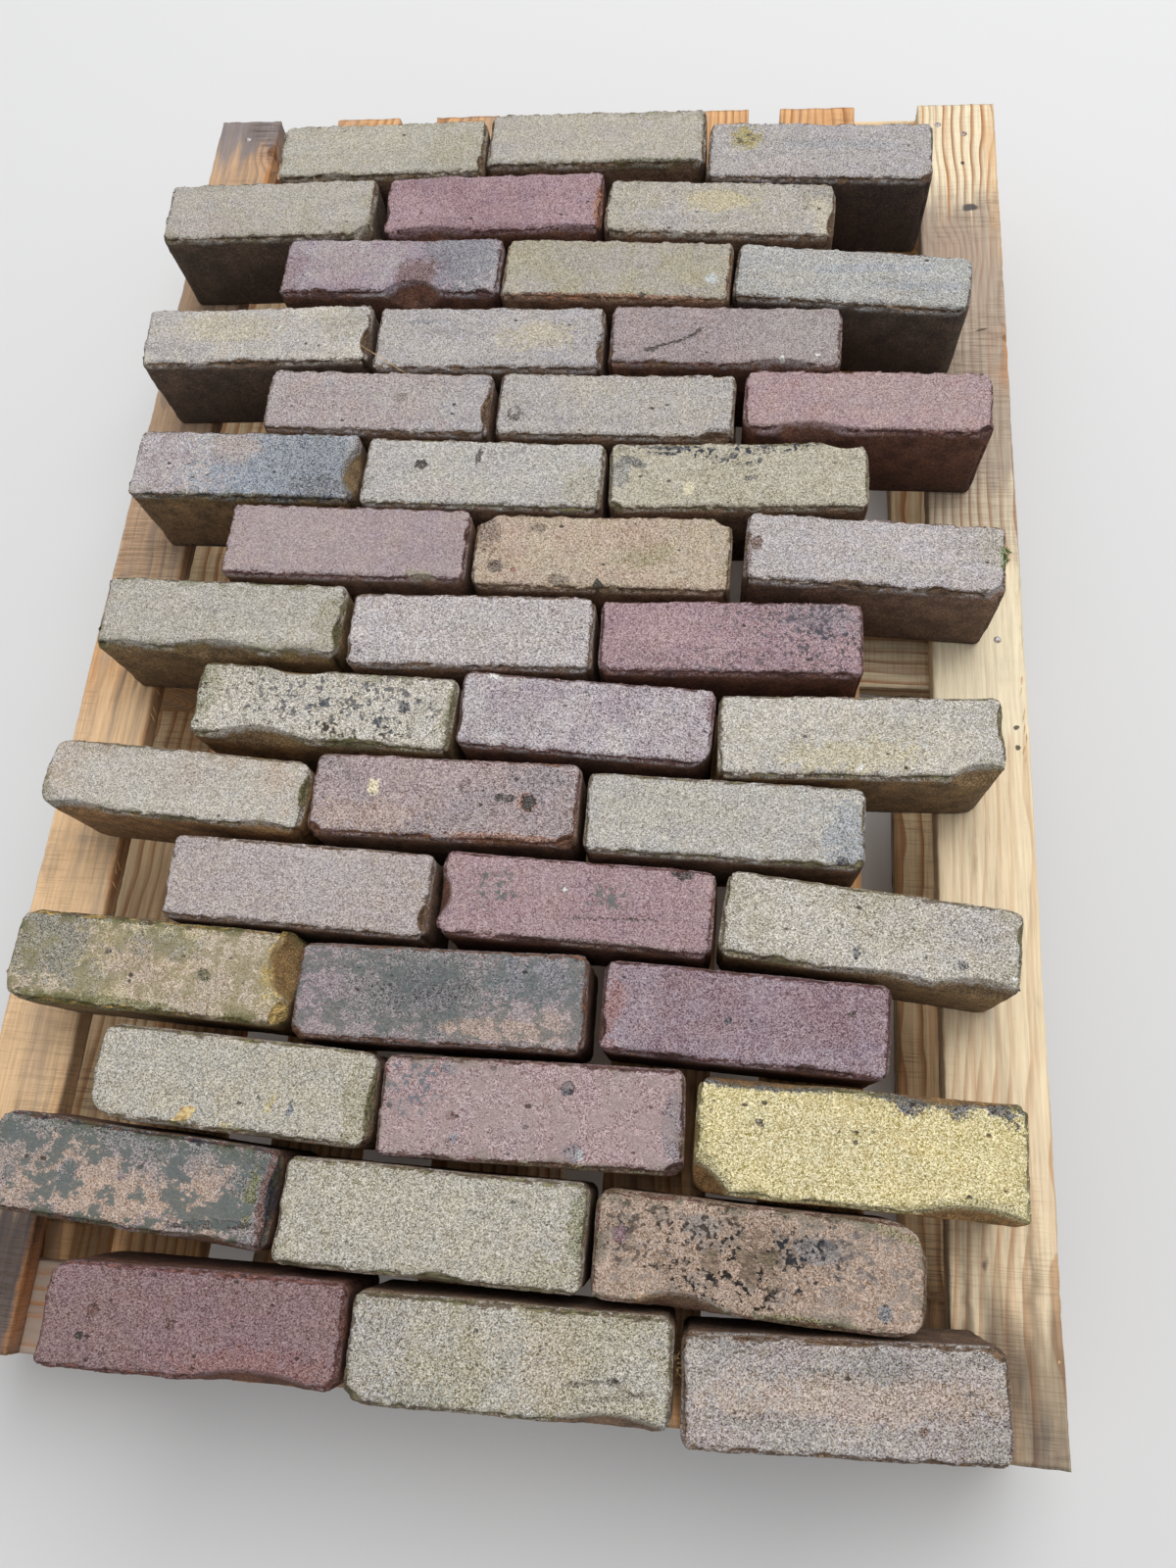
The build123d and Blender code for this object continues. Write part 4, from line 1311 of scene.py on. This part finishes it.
def make_sawn_board_tree():
    tree = ShapeTree("sawn_board")
    middle = tree.input("Middle", "vector", (0, 0, 0))
    half = tree.input("Half Size", "vector", (0.6, 0.033, 0.009))
    turn = tree.input("Turn", "float", 0.0)
    seed = tree.input("Seed", "float", 0.0)
    cuts = [tree.input(name, "int", count) for name, count in
            (("Cuts Along", 120), ("Cuts Across", 14), ("Cuts Down", 5))]
    waviness = tree.input("Waviness", "float", 0.0010)
    fur = tree.input("Fur", "float", 0.0012)

    home = tree.packed_solid(middle, turn)
    board = tree.fine_block(cuts)
    unit = tree.position()
    across = [unit.part(axis) * 0.35 + tree.math("SINE", unit.part(axis) * (math.pi / 2)) * 0.65
              for axis in (1, 2)]
    board = tree.move(board, tree.join(unit.part(0), *across) * half)
    board = tree.move(board, tree.nearest_on(home))
    board = tree.store(board, "to_arris", tree.to_arris(tree.gaps(half)))
    board = tree.store(board, "wood_place", tree.position(), "FLOAT_VECTOR")

    place = tree.named("wood_place", "FLOAT_VECTOR")
    rim = tree.named("to_arris")
    drift = place + tree.join(seed * 0.41, seed * 0.67, seed * 0.23)
    flat = tree.math("ABSOLUTE", tree.normal().part(2))
    wave = tree.step(tree.noise(drift * (1.0, 3.0, 3.0), 9.0, 2.0), 0.3, 0.75) * waviness
    saw = tree.step(tree.noise(drift * (1.0, 0.12, 0.3), SAW_PER_METRE, 3.0), 0.4, 0.7) * SAW_DEPTH
    ragged = tree.step(tree.noise(drift * (0.5, 1.0, 1.0), FUR_PER_METRE, 4.0, 0.65), 0.42, 0.75)
    furred = ragged * tree.step(rim, FUR_REACH, 0.0) * fur
    board = tree.push(board, tree.normal() * -(wave * (1.0 - flat * 0.8) + saw + furred))

    return tree.end(tree.bring_back(board, middle, turn))


sawn_board = make_sawn_board_tree()
print("sawn board tree:", len(sawn_board.nodes), "nodes")

# %% [markdown]
# ## Rings and knots
# A board is a slice through rings. The rings here are true ones: each point's distance
# from the heart of the tree, which lies a little below the board and wanders along it.
# Where the slice cuts them flat they open into arches, as on the real boards. Spring
# wood is pale and each ring ends in a brown line. A knot pushes the rings aside.

# %% Shades and rings of the wood
SHADES.update({
    "bright pine": (255, 240, 206), "pale pine": (248, 224, 182), "pine": (238, 202, 154),
    "summer line": (176, 118, 70), "orange pine": (230, 184, 134), "raw orange": (214, 142, 78),
    "peach": (252, 216, 172), "pale peach": (255, 232, 194), "grey pine": (170, 152, 138),
    "grey brown": (134, 108, 86), "weathered": (136, 130, 132), "wet wood": (92, 70, 54),
    "dark stain": (70, 58, 52), "under pine": (238, 184, 130), "blue grey": (78, 74, 80)})
PINE = {"light": "pale pine", "second": "pine", "line": "summer line", "grey": 0.25,
        "rings": 125.0, "heart": (0.05, -0.035), "lean": 0.02, "wander": 0.020, "saw": 0.5,
        "dirt": 0.35, "zones": [], "knots": [], "marks": []}
KNOT_RINGS = 3.2
LARGE_KNOT = 14
STAIN_DEPTH = 0.03
FIBRE_RELIEF = 0.0005
CUT_DEPTH = 0.0007
RING_DEPTH = 0.0002


class Wood:
    """The places and noises that the layers of one board share.

    Fibre is fine and long, and streaks are broad ones along the board.
    """

    def __init__(self, graph, look, half):
        self.graph = graph
        self.look = look
        self.half = half
        self.place = graph.attribute("wood_place")
        self.rim = graph.attribute("to_arris", "Fac")
        seed = look["seed"]
        self.drift = self.place + (seed * 0.41, seed * 0.67, seed * 0.23)
        self.fibre = self.grain((14.0, 420.0, 420.0), 3.0, 0.7)
        self.streaks = self.grain((7.0, 46.0, 46.0), 4.0, 0.65) - 0.5

    def grain(self, scale, detail, roughness=0.5):
        """A noise with a scale of its own along the board, across it and down."""
        return self.graph.noise(self.drift * scale, 1.0, detail, roughness)


def rings_and_knots(wood):
    """The brown line of each ring round the heart, and the knots that push rings aside."""
    graph, look, place = wood.graph, wood.look, wood.place
    heart_across, heart_height = look["heart"]
    wander = (wood.grain((2.4, 9.0, 9.0), 3.0, 0.55) - 0.5) * look["wander"]
    ripple = (wood.grain((13.0, 12.0, 12.0), 1.0) - 0.5) * 0.010
    sideways = place.part(1) - heart_across + place.part(0) * look["lean"] + wander
    upright = place.part(2) - heart_height
    radius = graph.length(graph.join(0.0, sideways, upright)) + ripple
    knot_dark = 0.0
    glow = 0.0
    for along, across, size in look["knots"]:
        oval = (size * MILLIMETRE, size * 0.8 * MILLIMETRE, MARK_DEPTH)
        away = graph.spot(place, (along, across, wood.half[2]), oval)
        radius = radius + graph.step(away, KNOT_RINGS, 0.4) * (size * 0.9 * MILLIMETRE)
        if size < LARGE_KNOT:
            knot_dark = graph.math("MAXIMUM", knot_dark, graph.step(away, 0.75, 0.45))
        glow = graph.math("MAXIMUM", glow, graph.step(away, 4.5, 0.8))
    ring = graph.math("FRACT", radius * look["rings"])
    line = graph.step(ring, 0.42, 0.92) * graph.step(ring, 1.0, 0.95)
    return line, knot_dark, glow


def spring_and_summer(wood, line, glow):
    """Pale spring wood, warmer round a knot, with summer lines and hair lines."""
    graph, look = wood.graph, wood.look
    broad = graph.step(wood.grain((1.6, 22.0, 22.0), 4.0, 0.6), 0.42, 0.62)
    colour = graph.blend(shade(look["light"]), shade(look["second"]), broad * 0.6)
    colour = graph.blend(colour, shade("raw orange"), glow * 0.45)
    strength = 0.45 + 0.55 * graph.step(wood.grain((2.0, 40.0, 40.0), 3.0), 0.3, 0.7)
    colour = graph.blend(colour, shade(look["line"]), line * strength)
    hair = wood.grain((4.0, 170.0, 170.0), 3.0, 0.7)
    colour = graph.blend(colour, shade("raw orange"), graph.step(hair, 0.50, 0.70) * 0.45)
    return graph.blend(colour, shade(look["line"]), graph.step(hair, 0.46, 0.28) * 0.35)


print("rings are", round(1000 / PINE["rings"], 1), "mm apart")

# %% [markdown]
# ## Saw, weather and dirt
# Fibres run along a board and saw marks across it. Stretches of a board that lay open or
# were covered have weathered in their own way, and their borders follow the grain, so
# the noise that moves them is a long thin one. Stains and dirt come last.

# %% Saw marks, weather, stains and dirt


def weathered_zones(wood, colour):
    """Stretches that weathered in their own way, and how clear the saw marks are there."""
    graph = wood.graph
    slide = wood.place.part(0) / wood.half[0] + wood.streaks * 0.35
    sawn = wood.look["saw"]
    for start, end, zone_shade, share, saw_share in wood.look["zones"]:
        inside = graph.step(slide, start - 0.05, start + 0.05) * graph.step(slide, end + 0.05, end - 0.05)
        colour = graph.blend(colour, shade(zone_shade), inside * share)
        sawn = sawn + inside * saw_share
    return colour, sawn


def fibres_and_saw_marks(wood, colour, line, sawn):
    """Fibres along the board, and here and there saw marks across it."""
    graph = wood.graph
    colour = colour * (0.55 + 0.90 * wood.fibre)
    saw = graph.step(wood.grain((760.0, 22.0, 24.0), 2.0, 0.7), 0.50, 0.66)
    here_and_there = graph.step(wood.grain((9.0, 12.0, 12.0), 3.0), 0.38, 0.6)
    cut = saw * here_and_there * sawn
    colour = graph.blend(colour, shade("grey brown"), cut * 0.5)
    return colour, wood.fibre * FIBRE_RELIEF - cut * CUT_DEPTH - line * RING_DEPTH


def stains_and_dirt(wood, colour, knot_dark):
    """Grey weather, the dark of small knots, the board's own stains, and dirt."""
    graph, look, half = wood.graph, wood.look, wood.half
    weather = graph.step(wood.streaks, -0.04, 0.14)
    colour = graph.blend(colour, shade("grey pine"), weather * look["grey"])
    colour = graph.blend(colour, shade("wet wood"), knot_dark * 0.85)
    loose = graph.jitter(wood.place, 38.0, 0.012, 2.0, 0.65)
    for along, across, long, wide, stain, share, *turn in look["marks"]:
        centre = (along * half[0], across * half[1], half[2])
        size = (long / 2 * MILLIMETRE, wide / 2 * MILLIMETRE, STAIN_DEPTH)
        small = max(long, wide) < SMALL_MARK
        mask = graph.step(graph.spot(loose, centre, size, *turn), 1.2, 0.75 if small else 0.1)
        if not small:
            mask = mask * graph.step(wood.streaks, -0.12, 0.10)
        colour = graph.blend(colour, shade(stain), mask * share)
    grime = graph.step(graph.noise(wood.drift * (0.5, 1.0, 1.0), 32.0, 5.0, 0.7), 0.48, 0.74)
    colour = graph.blend(colour, shade("dark stain"), grime * look["dirt"])
    specks = graph.step(graph.noise(wood.drift, 420.0, 3.0, 0.7), 0.67, 0.76)
    return graph.blend(colour, shade("dark stain"), specks * 0.5)


def ends_and_rims(wood, colour):
    """The saw tears end grain, which takes up dirt, and the rims are rubbed pale."""
    graph = wood.graph
    to_end = wood.half[0] - graph.math("ABSOLUTE", wood.place.part(0))
    colour = graph.blend(colour, colour * 0.62, graph.step(to_end, 0.0035, 0.0008))
    rubbed = graph.step(wood.rim, 0.002, 0.0) * graph.step(wood.fibre, 0.35, 0.6)
    return graph.blend(colour, shade(wood.look["light"], 1.1), rubbed * 0.35)


print("sawn wood:", [f.__name__ for f in (weathered_zones, fibres_and_saw_marks, stains_and_dirt)])

# %% [markdown]
# ## A finish for softwood
# The layers are laid down in the order in which a board gets them: it grows, it is
# sawn, and it weathers. What sets one board apart comes in its look, as for the bricks.

# %% The wood finish


def wood_finish(name, look, half):
    material, graph, shader = new_material(name)
    wood = Wood(graph, look, half)
    line, knot_dark, glow = rings_and_knots(wood)
    colour = spring_and_summer(wood, line, glow)
    colour, sawn = weathered_zones(wood, colour)
    colour, height = fibres_and_saw_marks(wood, colour, line, sawn)
    colour = stains_and_dirt(wood, colour, knot_dark)
    colour = ends_and_rims(wood, colour)
    dress(graph, shader, colour, 0.86 - 0.16 * wood.fibre, height)
    return material


print("a wood finish ready, one material for each board and block")

# %% [markdown]
# ## The boards and blocks
# Only the two outer deck boards lie open to the sky, so they are the ones described in
# full: the right one bright and striped, the left one greyed at both ends and orange
# where fresh wood shows. The boards under the course are stained with the soil that
# fell through.

# %% What sets each board apart
UNDER = {"light": "under pine", "second": "orange pine", "dirt": 0.35, "grey": 0.3, "rings": 150.0,
         "cuts": (110, 13, 5), "fur": 1.2, "waviness": 1.0}
BOARDS = {
    "deck_board_1": {
        "light": "orange pine", "second": "pine", "line": "grey brown", "grey": 0.35, "rings": 130.0,
        "heart": (0.02, -0.03), "lean": 0.012, "wander": 0.016, "saw": 0.55, "dirt": 0.12,
        "cuts": (260, 19, 7), "fur": 1.0, "waviness": 1.0,
        "zones": [(0.90, 1.2, "weathered", 0.92, 0.6), (0.70, 0.90, "grey pine", 0.4, 0.4),
                  (0.0, 0.70, "grey pine", 0.55, 0.2), (-0.72, -0.12, "peach", 0.7, -0.2),
                  (-1.2, -0.80, "blue grey", 0.9, 0.3)],
        "marks": [(0.97, -0.2, 60, 50, "dark stain", 0.3), (0.925, -0.98, 30, 16, "dark stain", 0.95),
                  (0.86, -1.0, 130, 14, "raw orange", 0.95), (-0.35, 0.1, 90, 14, "grey pine", 0.6, 80),
                  (-0.50, -0.2, 120, 12, "grey pine", 0.5, 84), (-0.90, -1.0, 200, 12, "raw orange", 0.7),
                  (-0.3, -1.0, 700, 8, "raw orange", 0.6), (-0.93, 0.0, 140, 70, "dark stain", 0.6)],
        "knots": [(0.555, -0.031, 11)]},
    "deck_board_7": {
        "light": "bright pine", "second": "bright pine", "grey": 0.06, "rings": 138.0,
        "heart": (-0.055, -0.028), "lean": 0.035, "wander": 0.030, "saw": 0.25, "dirt": 0.08,
        "cuts": (260, 21, 7), "fur": 0.9, "waviness": 0.9,
        "zones": [(0.22, 0.80, "grey pine", 0.8, 0.35), (0.14, 0.22, "grey pine", 0.45, 0.1),
                  (-0.16, 0.12, "bright pine", 0.9, -0.2), (-0.60, -0.16, "pale peach", 0.7, -0.2),
                  (-0.86, -0.60, "peach", 0.3, 0.1), (-1.2, -0.84, "grey brown", 0.70, 0.3)],
        "marks": [(0.80, -0.95, 330, 26, "orange pine", 0.9), (0.49, -0.95, 100, 30, "raw orange", 0.7),
                  (0.40, 0.3, 120, 40, "grey brown", 0.45), (0.05, -0.96, 120, 7, "dark stain", 0.8),
                  (-0.30, 0.3, 60, 9, "grey brown", 0.5), (-0.48, 0.1, 90, 14, "weathered", 0.5),
                  (-0.48, -0.75, 34, 8, "dark stain", 0.7, 20),
                  (-0.52, -0.8, 26, 6, "dark stain", 0.7, 10),
                  (-0.80, -0.5, 160, 10, "grey brown", 0.7), (-0.86, 0.7, 140, 9, "dark stain", 0.6),
                  (-0.70, 0.4, 200, 24, "grey brown", 0.4), (-0.66, -0.1, 200, 18, "grey brown", 0.35),
                  (-0.88, 0.2, 110, 26, "dark stain", 0.7), (-0.93, -0.2, 110, 30, "dark stain", 0.6),
                  (-0.98, -0.6, 60, 40, "blue grey", 0.6),
                  (0.775, -0.22, 10, 14, "blue grey", 0.9, 20), (0.868, -0.15, 4, 4, "dark stain", 0.95),
                  (0.53, -0.42, 3, 10, "dark stain", 0.8, 8), (-0.13, -0.70, 4, 4, "dark stain", 0.9),
                  (-0.156, -0.70, 4, 4, "dark stain", 0.9), (-0.795, 0.35, 16, 4, "dark stain", 0.95)],
        "knots": [(0.405, 0.012, 15), (0.309, -0.036, 7)]},
    "deck_board_2": {**UNDER},
    "deck_board_3": {**UNDER, "grey": 0.5},
    "deck_board_4": {**UNDER, "lean": -0.02, "grey": 0.5},
    "deck_board_5": {**UNDER, "lean": -0.03},
    "deck_board_6": {**UNDER, "heart": (-0.03, -0.02), "dirt": 0.2},
    "cross_board_near": {"dirt": 0.4, "grey": 0.8, "light": "grey pine", "cuts": (80, 13, 5),
                         "fur": 1.2, "waviness": 1.0},
    "cross_board_middle": {"dirt": 0.1, "grey": 0.2, "light": "bright pine", "cuts": (80, 13, 5),
                           "fur": 2.4, "waviness": 2.4,
                           "marks": [(0.0, -1.0, 900, 12, "wet wood", 0.6)]},
    "cross_board_far": {"dirt": 0.4, "grey": 0.4, "cuts": (80, 13, 5), "fur": 1.2, "waviness": 1.0},
}
for side in ("left", "middle", "right"):
    BOARDS[f"bottom_board_{side}"] = {"dirt": 0.2, "grey": 0.2, "light": "pale pine",
                                      "line": "summer line", "saw": 0.8, "cuts": (120, 13, 5),
                                      "fur": 1.8, "waviness": 1.5}
    for end in ("near", "middle", "far"):
        BOARDS[f"block_{end}_{side}"] = {"dirt": 0.5, "grey": 0.5, "light": "orange pine",
                                         "line": "summer line", "heart": (0.01, -0.01), "rings": 140.0,
                                         "cuts": (16, 15, 14), "fur": 1.2, "waviness": 1.0}
print(len(BOARDS), "pieces of wood")

# %% [markdown]
# ## Sawing the wood
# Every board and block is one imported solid. It is measured like a brick, and its values
# come from the list above, where a long board has more cuts than a block.

# %% Boards and blocks
wood_faces = 0
for number, (node, details) in enumerate(BOARDS.items(), start=1):
    look = {**PINE, **details, "seed": float(number)}
    solid = solids_of(node)[0]
    middle, half, turn = measure(solid)
    along, across, down = look["cuts"]
    values = {"Middle": middle, "Half Size": half, "Turn": turn, "Seed": look["seed"],
              "Cuts Along": along, "Cuts Across": across, "Cuts Down": down,
              "Waviness": look["waviness"] * MILLIMETRE, "Fur": look["fur"] * MILLIMETRE,
              "Material": wood_finish(f"wood_{node}", look, half)}
    piece = grow(f"sawn_{node}", sawn_board, values, solid)
    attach(piece, "root")
    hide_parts(node)
    wood_faces += triangles(piece)
print("wood:", wood_faces, "triangles")

# %% [markdown]
# ## Nails, fibres, straw and moss
# Small things make the pallet look used. A nail is a flattened ball on a point. All the
# rest are strands: a bent line swept with a flat profile, thin at both ends, and set at
# points along a path. With other lengths, widths and turns the same tree gives the furred
# edge of a board, a straw, a fallen leaf and the moss on the end of a brick.

# %% The nail tree and the strand tree


def make_nail_tree():
    tree = ShapeTree("nails")
    radius = tree.input("Head Radius", "float", 0.0034)
    dome = tree.input("Dome", "float", 0.3)
    ball = tree.add("GeometryNodeMeshUVSphere", inputs={"Segments": 14, "Rings": 8, "Radius": radius})
    head = tree.transform(ball, Scale=tree.join(1.0, 1.0, dome))
    head = tree.add("GeometryNodeSetShadeSmooth", inputs={"Geometry": head})
    return tree.end(tree.add("GeometryNodeInstanceOnPoints",
                             inputs={"Points": tree.shape, "Instance": head}))


def make_strand_tree():
    tree = ShapeTree("strands")
    count = tree.input("Count", "int", 20)
    length = tree.input("Length", "float", 0.010)
    width = tree.input("Width", "float", 0.0004)
    thickness = tree.input("Thickness", "float", 0.0002)
    sag = tree.input("Sag", "float", 0.002)
    aim = tree.input("Aim", "vector", (0, 0, 0))
    stray = tree.input("Stray", "vector", (0, 0, 0))
    shift = tree.input("Shift", "vector", (0, 0, 0))
    seed = tree.input("Seed", "int", 1)

    arc = tree.add("GeometryNodeCurveQuadraticBezier", inputs={
        "Resolution": 7, "Start": (0, 0, 0), "Middle": tree.join(length * 0.5, 0.0, sag),
        "End": tree.join(length, 0.0, 0.0)})
    ring = tree.add("GeometryNodeCurvePrimitiveCircle",
                    inputs={"Resolution": 6, "Radius": 1.0}, out="Curve")
    ring = tree.transform(ring, Scale=tree.join(width, thickness, 1.0))
    along = tree.add("GeometryNodeSplineParameter", out="Factor")
    taper = tree.math("SINE", (along * 0.94 + 0.03) * math.pi)
    strand = tree.add("GeometryNodeCurveToMesh", inputs={"Curve": arc, "Profile Curve": ring,
                                                         "Scale": taper, "Fill Caps": True})

    path = tree.add("GeometryNodeMeshToCurve", inputs={"Mesh": tree.shape})
    stations = tree.add("GeometryNodeResampleCurve", inputs={"Curve": path, "Count": count})

    def chance(low, high, offset):
        return tree.add("FunctionNodeRandomValue", {"data_type": "FLOAT_VECTOR"},
                        {"Min": low, "Max": high, "Seed": seed + offset})

    stations = tree.push(stations, chance(-shift, shift, 1.0))
    turn = aim + chance(-stray, stray, 2.0)
    size = chance((0.45, 0.6, 0.6), (1.0, 1.0, 1.0), 3.0)
    return tree.end(tree.add("GeometryNodeInstanceOnPoints", inputs={
        "Points": stations, "Instance": strand, "Rotation": turn, "Scale": size}))


nail_tree = make_nail_tree()
strand_tree = make_strand_tree()
print("nail tree:", len(nail_tree.nodes), "nodes, strand tree:", len(strand_tree.nodes), "nodes")

# %% [markdown]
# ## Their finishes
# Steel that has been rained on is grey with brown spots. Dry grass and leaves are straw
# coloured with darker patches, and moss is dark green with brighter patches.

# %% Finishes for steel and for plants


def plain_finish(name, dark, light, scale, roughness, metallic=0.0):
    """Two shades that change over the surface, for small things."""
    material, graph, shader = new_material(name, shine=0.5)
    place = graph.add("ShaderNodeTexCoord", out="Object")
    cloud = graph.noise(place, scale, 4.0, 0.7)
    share = graph.step(cloud, 0.38, 0.62)
    shader.inputs["Metallic"].default_value = metallic
    colour = graph.blend(shade(dark), shade(light), share)
    dress(graph, shader, colour, roughness + 0.2 * share, cloud * 0.0004, strength=0.6)
    return material


SHADES.update({"wet steel": (176, 176, 178), "nail rust": (104, 72, 52), "straw": (214, 186, 130),
               "dry straw": (176, 140, 88), "leaf yellow": (238, 216, 156), "splinter": (236, 206, 158)})
nail_steel = plain_finish("nail_steel", "nail rust", "wet steel", 420.0, 0.35, 0.8)
splinter_wood = plain_finish("splinter_wood", "raw orange", "splinter", 160.0, 0.7)
dry_grass = plain_finish("dry_grass", "dry straw", "straw", 200.0, 0.6)
leaf_skin = plain_finish("leaf_skin", "dry straw", "leaf yellow", 260.0, 0.5)
moss_green = plain_finish("moss_green", "dark moss", "bright moss", 300.0, 0.8)
print("finishes:", [m.name for m in (nail_steel, splinter_wood, dry_grass, leaf_skin, moss_green)])

# %% [markdown]
# ## Where they are
# Nails are driven where a board crosses the piece under it. The places of the strands
# are read from the photograph, and each path lies on the piece that carries it. On a
# brick a place is given in halves of its size, as it is for the marks.

# %% Small pieces
DECK_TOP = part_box("deck_board_7")[1].z
ONE_LYING = {"Count": 1, "Thickness": 0.0003, "Sag": 0.0, "Stray": (0, 0, 0), "Shift": (0, 0, 0)}
STRANDS = {"Count": 12, "Length": 0.012, "Width": 0.0004, "Thickness": 0.0002, "Sag": 0.002,
           "Aim": (0, 0, 0), "Stray": (0.2, 0.3, 0.3), "Shift": (0.001, 0.001, 0.001)}
small_pieces = []


def on_brick(name, along, across, down):
    """A point of a brick in the frame, down metres under its top."""
    middle, half, turn = BRICK_PLACES[name]
    reach = Vector((along * half[0], across * half[1], half[2] - down))
    return Vector(middle) + Matrix.Rotation(turn, 3, "Z") @ reach


def path_mesh(name, points):
    mesh = bpy.data.meshes.new(name)
    mesh.from_pydata([tuple(p) for p in points], [(n, n + 1) for n in range(len(points) - 1)], [])
    return mesh


def place_small(name, tree, values, points):
    piece = grow(name, tree, values, path_mesh(name, points))
    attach(piece, "root")
    small_pieces.append(piece)


def strands(name, number, material, slot, points, **details):
    values = {**STRANDS, **details, "Seed": number * 10, "Material": material}
    place_small(name, strand_tree, values, points)


OPEN_NAILS = [(0.374, 0.559), (0.349, 0.572), (0.383, 0.001), (-0.371, 0.573)]
NAIL_SUNK = 0.0005
UNDER_NAIL_SHIFTS = [(-0.018, -0.012), (0.016, 0.014)]
UNDER_NAIL_HEIGHT = 0.0006
place_small("nails_deck", nail_tree, {"Material": nail_steel},
            [(x, y, DECK_TOP - NAIL_SUNK) for x, y in OPEN_NAILS])
under_nails = []
for side in ("left", "middle", "right"):
    for end in ("near", "middle", "far"):
        low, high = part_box(f"block_{end}_{side}")
        centre = (low + high) / 2
        under_nails += [(centre.x + away, centre.y + along, UNDER_NAIL_HEIGHT)
                        for away, along in UNDER_NAIL_SHIFTS]
place_small("nails_under", nail_tree, {"Material": nail_steel, "Dome": 0.17}, under_nails)

left_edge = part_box("deck_board_1")[1].x
right_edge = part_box("deck_board_7")[1].x
strands("fibres_left", 1, splinter_wood, "pallet_wood",
        [(left_edge - 0.001, -0.055, DECK_TOP - 0.002), (left_edge - 0.001, -0.110, DECK_TOP - 0.003)],
        Count=9, Length=0.016, Aim=(0, -0.25, -1.2), Stray=(0.2, 0.3, 0.5))
strands("fibres_left_near", 2, splinter_wood, "pallet_wood",
        [(left_edge - 0.001, -0.205, DECK_TOP - 0.002), (left_edge - 0.001, -0.250, DECK_TOP - 0.003)],
        Count=8, Length=0.014, Aim=(0, -0.25, -1.2), Stray=(0.2, 0.3, 0.5))
strands("fibres_right", 3, splinter_wood, "pallet_wood",
        [(right_edge - 0.0035, -0.020, DECK_TOP - 0.001), (right_edge - 0.0035, -0.100, DECK_TOP - 0.001)],
        Count=9, Length=0.014, Aim=(0, -0.12, -1.75), Stray=(0.1, 0.12, 0.15))
strands("splinter_right", 4, splinter_wood, "pallet_wood",
        [(right_edge - 0.004, -0.500, DECK_TOP - 0.002), (right_edge - 0.004, -0.512, DECK_TOP - 0.002)],
        Count=3, Length=0.050, Width=0.0016, Thickness=0.0006, Aim=(0, -0.02, -1.62),
        Stray=(0.05, 0.03, 0.03))
strands("straw", 5, dry_grass, "brick",
        [on_brick("04_1", 0.93, -0.45, 0.0007), on_brick("04_1", 0.94, -0.45, 0.0007)],
        **ONE_LYING, Length=0.074, Width=0.0005, Aim=(0, 0, -0.59))
strands("leaf", 6, leaf_skin, "brick",
        [on_brick("13_1", -0.36, -0.86, 0.0008), on_brick("13_1", -0.35, -0.86, 0.0008)],
        **ONE_LYING, Length=0.030, Width=0.0062, Aim=(0, 0, 0.5))
strands("moss_end", 7, moss_green, "brick",
        [on_brick("07_3", 0.98, 0.40, 0.003), on_brick("07_3", 0.98, 0.05, 0.005)],
        Count=46, Length=0.007, Width=0.0005, Aim=(0, 0.9, 0.1), Stray=(0.6, 0.4, 0.9),
        Shift=(0.0005, 0.002, 0.002))
strands("grass_joint", 8, dry_grass, "brick",
        [on_brick("15_3", -1.03, 0.5, 0.014), on_brick("15_3", -1.03, 0.2, 0.014)],
        Count=12, Length=0.013, Aim=(0, -1.1, 0.6), Stray=(0.3, 0.3, 1.5))
print("small pieces:", sum(triangles(piece) for piece in small_pieces), "triangles")

# %% [markdown]
# ## Closing the lesson
# The box of the finished model is printed.

# %% Finish
low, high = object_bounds()
print("visual box", tuple(low), tuple(high))
